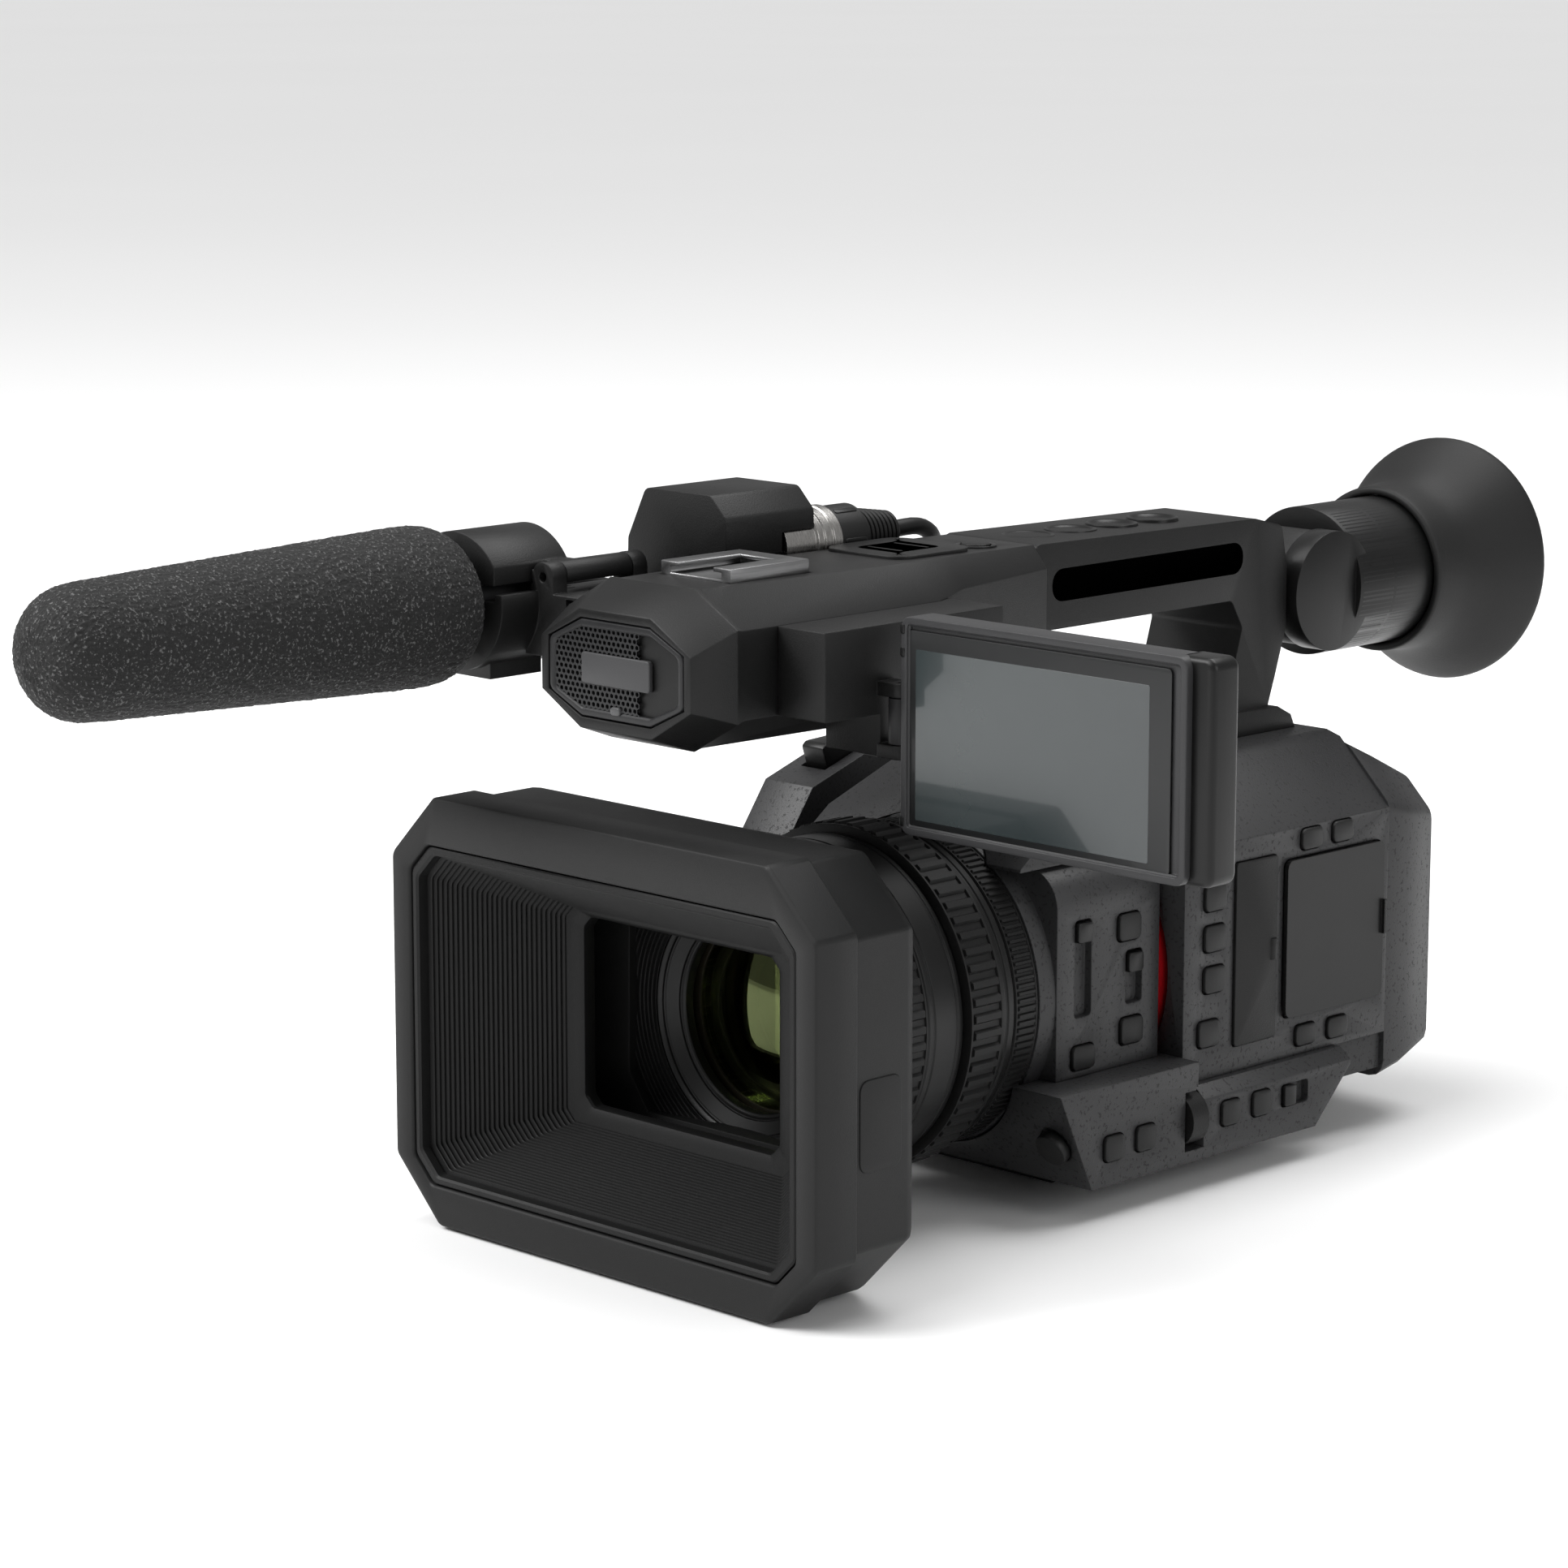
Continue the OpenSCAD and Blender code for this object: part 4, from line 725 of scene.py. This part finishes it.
# %% The stepped tube that holds the glass
tube_profile = [(26.2, 62.4)]
for radius, front, back in ((25.9, 62.5, 66.5), (22.4, 67.2, 75.5), (18.3, 76.4, 85.4), (14.4, 86.2, 95),
                            (10.4, 95.8, 103)):
    tube_profile += [(radius, front), (radius, back)]
tube_profile += [(0, 104), (0, 106), (30, 106), (37.6, 100), (37.6, 70), (33.2, 62.4)]
inner_tube = lathe("lens_cells", tube_profile, 96)
cell_black = moulded("cell_black", "#17150f", "#242117", 0.3, 0.8, 0.01, 0.0)
hand_over(inner_tube, "camera", cell_black, "lens_glass", smooth=28)

# %% [markdown]
# ## The grip rings
# Each ring is a band of moulded rubber with teeth all round. The section changes with the angle, so the
# rings are skinned lengthwise: every loop of points already holds the teeth, and the loops at the two
# ends draw them in to a smooth rim.

# %% Toothed bands
def grip_band(name, body, node, y0, y1, inner, radius, teeth, depth, rim=1.3, share=0.5):
    def loop(y, r, tooth):
        points = []
        for k in range(teeth):
            for part, up in ((0.0, 0), (share * 0.28, 1), (share, 1), (share * 1.28, 0)):
                angle = 2 * math.pi * (k + part) / teeth
                height = r + tooth * up
                points.append(at(height * math.cos(angle), y, height * math.sin(angle) + LENS_Z))
        return points

    low = radius - depth
    loops = [loop(y0, inner, 0), loop(y0, low - 0.3, 0), loop(y0 + 0.35, low + depth * 0.55, 0),
             loop(y0 + rim - 0.3, low + depth * 0.55, 0), loop(y0 + rim, low, 0),
             loop(y0 + rim + 0.3, low, depth), loop(y1 - rim - 0.3, low, depth), loop(y1 - rim, low, 0),
             loop(y1 - rim + 0.3, low + depth * 0.55, 0), loop(y1 - 0.35, low + depth * 0.55, 0),
             loop(y1, low - 0.3, 0), loop(y1, inner, 0)]
    piece = skin(name, loops, closed=True)
    return hand_over(piece, body, ring_rubber, "ring_rubber", node, smooth=25)


grip_band("focus_grip", "focus_ring", "focus_ring", 60, 77, 42.3, 46, 66, 0.9)
grip_band("zoom_grip", "zoom_ring", "zoom_ring", 91, 104, 42.3, 48, 66, 1.1)
grip_band("iris_grip", "iris_ring", "iris_ring", 111, 120, 42.3, 45.5, 140, 0.7, 1.0)

# %% [markdown]
# ## The foam windscreen
# Open-cell foam is a soft shape with a ragged skin. The body is spun, cut finely, and every point is
# moved a little along its normal by noise, so that its outline is broken as well as its shading.
# The finish paints pale glints into the base colour where the cell walls would catch light: painted highlights on
# the black foam.

# %% Foam: shape
foam_finish = Finish("foam_cells")
pores = foam_finish.cells(1.15)
crumbs = foam_finish.noise(0.85, 3.0, 0.65)
# painted highlights: pale specks in the base colour where cell walls would catch light
painted_glints = (crumbs.above(0.6, 0.07)) * pores.above(0.32, 0.25)
foam_finish.drive("Base Color", foam_finish.mix(painted_glints, "#0b0b0b", "#5a5a5a"))
foam_finish.drive("Roughness", crumbs * 0.2 + 0.72)
foam_finish.relief(pores * 0.6 + crumbs * 0.6, 0.5)
foam_profile = [(0, -125.5)] + [(4 + 13.4 * math.sin(math.radians(a)), -111.5 - 14 * math.cos(math.radians(a)))
                                for a in range(12, 91, 13)]
foam_profile += [(17.7 + (21.4 - 17.7) * k / 22, -108 + 100 * k / 22) for k in range(23)]
foam_profile += [(12.4 + 9 * math.cos(math.radians(a)), -4 + 12 * math.sin(math.radians(a)))
                 for a in range(15, 91, 15)]
foam = lathe("windscreen_foam", foam_profile + [(10.2, 8.2), (10.2, 4), (0, 4)], 96, (-65, 111))
bpy.context.view_layer.objects.active = foam
bpy.ops.object.mode_set(mode="EDIT")
bpy.ops.mesh.select_all(action="SELECT")
bpy.ops.mesh.subdivide(number_cuts=1)
bpy.ops.object.mode_set(mode="OBJECT")
apply_modifier(foam, "SUBSURF", levels=1, render_levels=1)
for vertex, normal in [(v, v.normal.copy()) for v in foam.data.vertices]:
    rough = noise.noise(vertex.co * 900) + 0.6 * noise.noise(vertex.co * 2100)
    vertex.co += normal * (rough * 0.28 - 0.12) * MM
hand_over(foam, "camera", foam_finish.material, "foam", "windscreen", smooth=0)
for face in foam.data.polygons:
    face.use_smooth = True
print("foam faces", len(foam.data.polygons))

# %% [markdown]
# ## The fold-out screen
# A thin case with a raised frame round a sheet of dark glass. Under the glass, the picture area is a shade lighter
# than the black border round it, with a painted reflection that grows darker towards the outer end. The outer end
# is thicker, where a finger pulls it open.

# %% The screen's case
SCREEN_FRONT = 53.4
case = slab("screen_case", oblong(104.2, 87.7, 94.2, 56, 3, 5), "y", SCREEN_FRONT, 62.4)
bpy.context.view_layer.objects.active = case
bpy.ops.object.mode_set(mode="EDIT")
pick_faces(case, lambda face: face.normal.y < -0.9)
bpy.ops.mesh.inset(thickness=2.0 * MM)
bpy.ops.mesh.extrude_region_move(TRANSFORM_OT_translate={"value": (0, 0.7 * MM, 0)})
bpy.ops.mesh.inset(thickness=0.5 * MM)
bpy.ops.mesh.extrude_region_move(TRANSFORM_OT_translate={"value": (0, 0.9 * MM, 0)})
bpy.ops.object.mode_set(mode="OBJECT")
round_edges(case, 0.55, 3)
bezel_grey = moulded("bezel_grey", "#2e2e2f", "#383839", 0.36, 0.4, 0.008, 0.3)
hand_over(case, "screen", bezel_grey, "black_plastic", "screen_shell")

end_block = slab("screen_end", oblong(151.3, 87.7, 13.4, 56, 3, 5), "y", 55.6, 65.4)
round_edges(end_block, 1.6, 4)
hand_over(end_block, "screen", smooth_plastic, "black_plastic")
back_panel = slab("screen_back_panel", oblong(98, 87.7, 74, 44, 6, 5), "y", 61.9, 63.2)
round_edges(back_panel, 0.7, 3)
hand_over(back_panel, "screen", black_plastic, "black_plastic")
for k, z in enumerate((106.5, 112.4, 63.0)):
    latch = slab("screen_notch", oblong(57.7, z, 1.5, 2.6, 0.5, 2), "y", 53.2, 56.5)
    round_edges(latch, 0.2, 2)
    latch.name = latch.data.name = f"screen_catch_{k + 1}"
    hand_over(latch, "screen", smooth_plastic, "black_plastic")

# %% The glass, and the picture area under it
glass_sheet = slab("screen_sheet", oblong(101.8, 86.9, 88.2, 50.6, 1.2, 3), "y", 54.25, 55.0)
round_edges(glass_sheet, 0.15, 2)
hand_over(glass_sheet, "screen", screen_border, "screen_glass", "screen_glass")
picture = Finish("screen_picture", **{"Coat_Roughness": 0.05, "Coat_Weight": 0.6})
split = picture.node("ShaderNodeSeparateXYZ", {}, picture.place)
# painted reflection: the picture area is painted lighter by the body and darker towards the outer end
painted_reflection_ramp = (split - 0.0615) * (1 / 0.0775)
fine_grid = picture.noise(7, 2.0)
picture.drive("Base Color", picture.mix(painted_reflection_ramp * 0.55 + fine_grid * 0.2, "#2c3435", "#1d2224"))
picture.drive("Roughness", fine_grid * 0.03 + 0.24)
panel = slab("screen_picture_area", oblong(100.3, 85.6, 77.5, 43.8, 0.4, 2), "y", 54.19, 54.4)
round_edges(panel, 0.05, 1)
hand_over(panel, "screen", picture.material, "screen_glass")

# %% [markdown]
# ## The microphone grille
# One hexagonal cell with a hexagonal hole is modelled once. Two arrays repeat it over the plate, faces outside the
# plate's outline are deleted, and a raised rim covers the ragged edge.

# %% Honeycomb plate
def grille_outline(inset, w=25.2, mid=12.8, low=86.9, high=112.6, side_low=92.8, side_high=106.6):
    return [(-mid, low + inset), (mid, low + inset), (w - inset, side_low + inset * 0.3),
            (w - inset, side_high - inset * 0.3), (mid, high - inset), (-mid, high - inset),
            (-w + inset, side_high - inset * 0.3), (-w + inset, side_low + inset * 0.3)]


def inside_outline(x, z, inset):
    points = grille_outline(inset)
    return all((b[0] - a[0]) * (z - a[1]) - (b[1] - a[1]) * (x - a[0]) > 0
               for a, b in zip(points, points[1:] + points[:1]))


PITCH = 1.72
hex_r = PITCH / math.sqrt(3)
cell_points = [(hex_r * math.cos(math.radians(60 * k + 30)), hex_r * math.sin(math.radians(60 * k + 30)))
               for k in range(6)]
plate = begin("grille_plate", 6)
place(plate, [at(x - 13.5 * 2 * PITCH, 8.35, z + 84.5) for x, z in cell_points])
bpy.ops.mesh.select_all(action="SELECT")
bpy.ops.mesh.edge_face_add()
bpy.ops.mesh.inset(thickness=0.3 * MM)
bpy.ops.mesh.extrude_region_move(TRANSFORM_OT_translate={"value": (0, 1.0 * MM, 0)})
bpy.ops.mesh.delete(type="FACE")
bpy.ops.object.mode_set(mode="OBJECT")
row_high = PITCH * math.sqrt(3) / 2
apply_modifier(plate, "ARRAY", count=2, use_relative_offset=False, use_constant_offset=True,
               constant_offset_displace=(PITCH / 2 * MM, 0, row_high * MM))
apply_modifier(plate, "ARRAY", count=32, use_relative_offset=False, use_constant_offset=True,
               constant_offset_displace=(PITCH * MM, 0, 0))
apply_modifier(plate, "ARRAY", count=10, use_relative_offset=False, use_constant_offset=True,
               constant_offset_displace=(0, 0, 2 * row_high * MM))
bpy.ops.object.mode_set(mode="EDIT")


def off_the_plate(face):
    middle = face.calc_center_median()
    x, z = middle.x / MM, middle.z / MM - HOOD_HEIGHT
    return not inside_outline(x, z, 2.0) or (abs(x) < 12.4 and abs(z - 99.8) < 3.7)


pick_faces(plate, off_the_plate)
bpy.ops.mesh.delete(type="FACE")
close_up()
hand_over(plate, "camera", dark_metal, "dark_metal", "mic_grille", smooth=0)

# %% The grille's rim, its bare centre plate, the dark mesh behind and the tally lamp
rim_rings = [[at(x, y, z) for x, z in rounded(grille_outline(inset), 2.4, 4)]
             for y, inset in ((9.9, 0.15), (8.6, 0.15), (8.1, 0.5), (7.95, 1.0), (8.05, 1.9), (8.5, 2.4),
                              (9.9, 2.4))]
rim = skin("grille_rim", rim_rings, closed=True)
hand_over(rim, "camera", dark_metal, "dark_metal")
badge = slab("grille_badge", oblong(0, 99.8, 25.4, 8.2, 1.0, 4), "y", 7.9, 9.4)
round_edges(badge, 0.35, 3)
hand_over(badge, "camera", moulded("badge_grey", "#3a3a3b", "#434344", 0.4, 0.4, 0.01), "dark_metal")
mesh_back = slab("grille_backing", grille_outline(0.8), "y", 9.5, 10.1)
hand_over(mesh_back, "camera", cable_jacket, "dark_metal", smooth=0)
lamp = slab("tally_lamp", oblong(0, 89.6, 3.6, 2.2, 1.0, 4), "y", 7.7, 9.6)
round_edges(lamp, 0.3, 3)
hand_over(lamp, "camera", moulded("lamp_grey", "#454546", "#4f4f50", 0.25, 0.4, 0.005), "dark_metal")

# %% [markdown]
# ## The rubber eyecup and its tube
# The cup flares into a bell that reaches further back on the outer side of the eye. Loops of points are
# skinned outside and inside, and a level of subdivision makes the rubber's long smooth curves.

# %% Eyecup
EYE_Z = 95


def cup_loop(y, radius, lift, tall, lean, n=40):
    loop = []
    for k in range(n):
        angle = 2 * math.pi * k / n
        c, s = math.cos(angle), math.sin(angle)
        loop.append(at(radius * c, y + lean * c,
                       EYE_Z + lift + radius * tall * s))
    return loop


outer = [(318.6, 24.6, 0, 1, 0), (319.2, 25.0, 0, 1, 0), (325, 25.2, 0, 1, 0), (330, 25.5, 0, 1, 0),
         (333, 26.1, 0, 1.01, 0.6), (337, 27.3, 0, 1.03, 1.8), (341, 28.9, 0, 1.06, 3.2),
         (346, 30.8, 0, 1.1, 5.0), (350, 32.1, 0, 1.13, 6.8), (352.6, 32.8, 0, 1.14, 7.8)]
inner = [(353.2, 32.3, 0, 1.14, 8.0), (352.4, 31.2, 0, 1.14, 7.8), (350, 30.3, 0, 1.13, 6.8),
         (346, 28.8, 0, 1.1, 5.0), (341, 26.8, 0, 1.06, 3.2), (337.4, 24.8, 0, 1.03, 1.6),
         (335.6, 22.3, 0, 1, 0.3), (335, 21.6, 0, 1, 0), (331, 21.8, 0, 1, 0), (330.6, 22.3, 0, 1, 0),
         (320, 22.3, 0, 1, 0), (318.6, 22.6, 0, 1, 0)]
cup = skin("eyecup_bell", [cup_loop(*row) for row in outer + inner], closed=True)
apply_modifier(cup, "SUBSURF", levels=1, render_levels=1)
hand_over(cup, "eyepiece", cup_rubber, "cup_rubber", "eyecup", smooth=60)

# %% Eyepiece glass
eye_glass = lathe("eye_glass", [(0, 322), (5, 322.3), (10, 323.3), (13.6, 325), (13.6, 329), (0, 331)], 64,
                  (0, EYE_Z))
hand_over(eye_glass, "eyepiece", coated("eye_coat", "#6f7a8a", "#dfe4ea", 0.2), "lens_glass", "eye_lens")

# %% Sleeve with the sight adjuster, and its seams
sleeve = lathe("eye_sleeve", [(21.6, 286), (22.0, 286.4), (22.0, 300.6), (21.7, 300.9), (21.7, 301.5),
                              (22.0, 301.8), (22.0, 321), (21.7, 321.4), (20.5, 321.4), (20.5, 286)],
               96, (0, EYE_Z))
hand_over(sleeve, "eyepiece", smooth_plastic, "black_plastic", smooth=28)

# %% [markdown]
# ## Plug, cable and microphone clamp
# The connector is turned nickel with two grooves, a black body with slots, and a ribbed boot that
# carries the cable out. The cable is a curve along the route settled at the start.

# %% The plug
shell = lathe("plug_shell", [
    (0, 86), (8.9, 86), (8.9, 97), (9.3, 97.3), (9.6, 97.6), (9.6, 99.2), (9.2, 99.5), (9.2, 100),
    (9.6, 100.3), (9.6, 102.6), (9.2, 102.9), (9.2, 103.4), (9.6, 103.7), (9.6, 106.6), (9.3, 107),
    (0, 107)], 64, (-25, 122))
hand_over(shell, "camera", plug_nickel, "plug_nickel", "xlr_plug", smooth=30)
boot_steps = [(8.9, 107), (9.0, 107.3), (9.0, 117.6), (8.6, 118)]
for k in range(8):
    y, r = 118.4 + k * 1.9, 7.6 - k * 0.28
    boot_steps += [(r - 0.9, y), (r, y + 0.25), (r, y + 1.2), (r - 0.9, y + 1.45)]
boot = lathe("plug_boot", [(0, 106.9)] + boot_steps + [(3.4, 135.4), (2.4, 135.5), (0, 135.5)], 64, (-25, 122))
hand_over(boot, "camera", black_plastic, "plug_nickel", smooth=28)
for k in range(6):
    turn = math.radians(30 + 60 * k)
    slot_bar = slab("plug_slot", oblong(0, 112.4, 1.7, 8.4, 0.6, 2), "z", 8.4, 9.25)
    round_edges(slot_bar, 0.2, 2)
    slot_bar.data.transform(Matrix.Translation(at(-25, THREAD_BACK, 122)) @ Matrix.Rotation(turn, 4, "Y")
                            @ Matrix.Translation(-Vector((0, 0, HOOD_HEIGHT * MM))))
    slot_bar.name = slot_bar.data.name = f"plug_slot_{k + 1}"
    hand_over(slot_bar, "camera", smooth_plastic, "plug_nickel")

# %% The cable
bpy.ops.object.select_all(action="DESELECT")
curve = bpy.data.curves.new("mic_cable_cord", "CURVE")
curve.dimensions = "3D"
curve.bevel_depth = CABLE_WIDE / 2 * MM
curve.bevel_resolution = 5
curve.use_fill_caps = True
line = curve.splines.new("POLY")
line.points.add(len(cable_line) - 1)
for point, place_at in zip(line.points, cable_line):
    point.co = (*place_at, 1)
cable = bpy.data.objects.new("mic_cable_cord", curve)
bpy.context.scene.collection.objects.link(cable)
cable.data.materials.append(cable_jacket)
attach(cable, "camera")
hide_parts("mic_cable")
at(-25, 135.5, 122)

# %% The clamp's knurled knob, and a screw in its hinge
knob_loops = []
for x, r, cut in ((-91, 5.2, 0), (-90.7, 5.8, 0.3), (-85, 5.9, 0.5), (-84.4, 5.5, 0.2)):
    loop = []
    for k in range(72):
        reach = r - (cut if k % 3 == 0 else 0)
        loop.append(at(x, 24 + reach * math.cos(math.radians(5 * k)), 103 + reach * math.sin(math.radians(5 * k))))
    knob_loops.append(loop)
knob = skin("clamp_knob", knob_loops)
stem = lathe("clamp_stem", [(0, -84.6), (2, -84.6), (2, -78), (0, -78)], 32, (24, 103), "x")
hand_over(knob, "mic_knob", black_plastic, "black_plastic", "mic_knob", smooth=30)
hand_over(stem, "mic_knob", dark_metal, "black_plastic")


# %% [markdown]
# ## Handle details
# The top of the handle carries a raised panel round the zoom rocker, a red record key, and four shallow
# round pads. Each is small, but together they are what the eye reads as the handle's working side.

# %% Rocker panel, pads, groove
def ring_frame(name, outline_out, outline_in, axis, low, high, body, material, slot, soft=0.3):
    """A frame between two outlines with the same count of points."""
    def point(a, b, depth):
        return at(*{"x": (depth, a, b), "y": (a, depth, b), "z": (a, b, depth)}[axis])

    loops = [[point(a, b, low) for a, b in outline_out], [point(a, b, high) for a, b in outline_out],
             [point(a, b, high) for a, b in outline_in], [point(a, b, low) for a, b in outline_in]]
    piece = skin(name, loops, closed=True)
    round_edges(piece, soft, 3)
    return hand_over(piece, body, material, slot)


ring_frame("rocker_frame", oblong(0, 112, 30, 30, 6, 5), oblong(0, 112, 16.2, 18.4, 3, 5), "z", 120.2, 121.9,
           "camera", handle_plastic, "black_plastic", 0.5)
ring_frame("record_frame", oblong(8, 134, 11.4, 11.4, 5.6, 6), oblong(8, 134, 8.9, 8.9, 4.4, 6), "z", 119.4, 121.2,
           "camera", smooth_plastic, "black_plastic", 0.3)
for k in range(4):
    y = 164 + k * 17.5
    dish = lathe(f"handle_pad_{k + 1}", [(0, 119.6), (5.6, 119.7), (6.2, 120.2), (6.8, 120.5), (7.4, 120.3),
                                         (7.6, 119.2), (0, 119.0)], 48, (0, y), "z")
    hand_over(dish, "camera", smooth_plastic, "black_plastic", smooth=50)
for side in (-1, 1):
    strip = slab("bar_strip", oblong(196, 108.4, 82, 9.6, 4.4, 5), "x", side * 16.4, side * 17.0)
    round_edges(strip, 0.25, 2)
    strip.name = strip.data.name = "bar_inlay_" + ("left" if side > 0 else "right")
    hand_over(strip, "camera", handle_plastic, "black_plastic")

# %% [markdown]
# ## A plain studio
# Black objects are lit by what they reflect. One wide soft light above and to the front left gives the
# hood its pale face, a second low one opens the control side, and a strip behind draws the top edges.

# %% Floor
bpy.ops.object.select_all(action="DESELECT")
bpy.ops.mesh.primitive_plane_add(size=60, location=(0, 0.5, -0.0003))
floor = bpy.context.object
floor.name = "studio_floor"
paper = Finish("studio_paper", Roughness=0.8)
paper.drive("Base Color", paper.mix(paper.noise(900, 2.0), "#f4f4f4", "#f7f7f7"))
floor.data.materials.append(paper.material)

# %% Lights
def soft_light(name, place, aim, wide, high, power):
    bpy.ops.object.light_add(type="AREA", location=place)
    light = bpy.context.object
    light.name = name
    light.data.shape = "RECTANGLE"
    light.data.size, light.data.size_y, light.data.energy = wide, high, power
    light.rotation_euler = (Vector(aim) - Vector(place)).to_track_quat("-Z", "Y").to_euler()
    return light


soft_light("key_light", (-0.9, -1.4, 1.5), (0, 0, 0.08), 1.2, 0.9, 30)
soft_light("side_light", (1.9, 0.1, 0.9), (0, 0, 0.08), 0.9, 0.9, 9)
soft_light("top_light", (0.1, 0.7, 1.9), (0, 0, 0.1), 1.5, 1.0, 26)
bpy.ops.object.light_add(type="SUN", location=(-2, -2, 4), rotation=(0.5, -0.35, 0))
bpy.context.object.data.energy = 2.0
bpy.context.object.data.angle = 0.9
world = bpy.data.worlds.new("studio")
bpy.context.scene.world = world
world.use_nodes = True
world.node_tree.nodes["Background"].inputs["Color"].default_value = (1, 1, 1, 1)
world.node_tree.nodes["Background"].inputs["Strength"].default_value = 0.32
bpy.context.scene.view_settings.view_transform = "Standard"
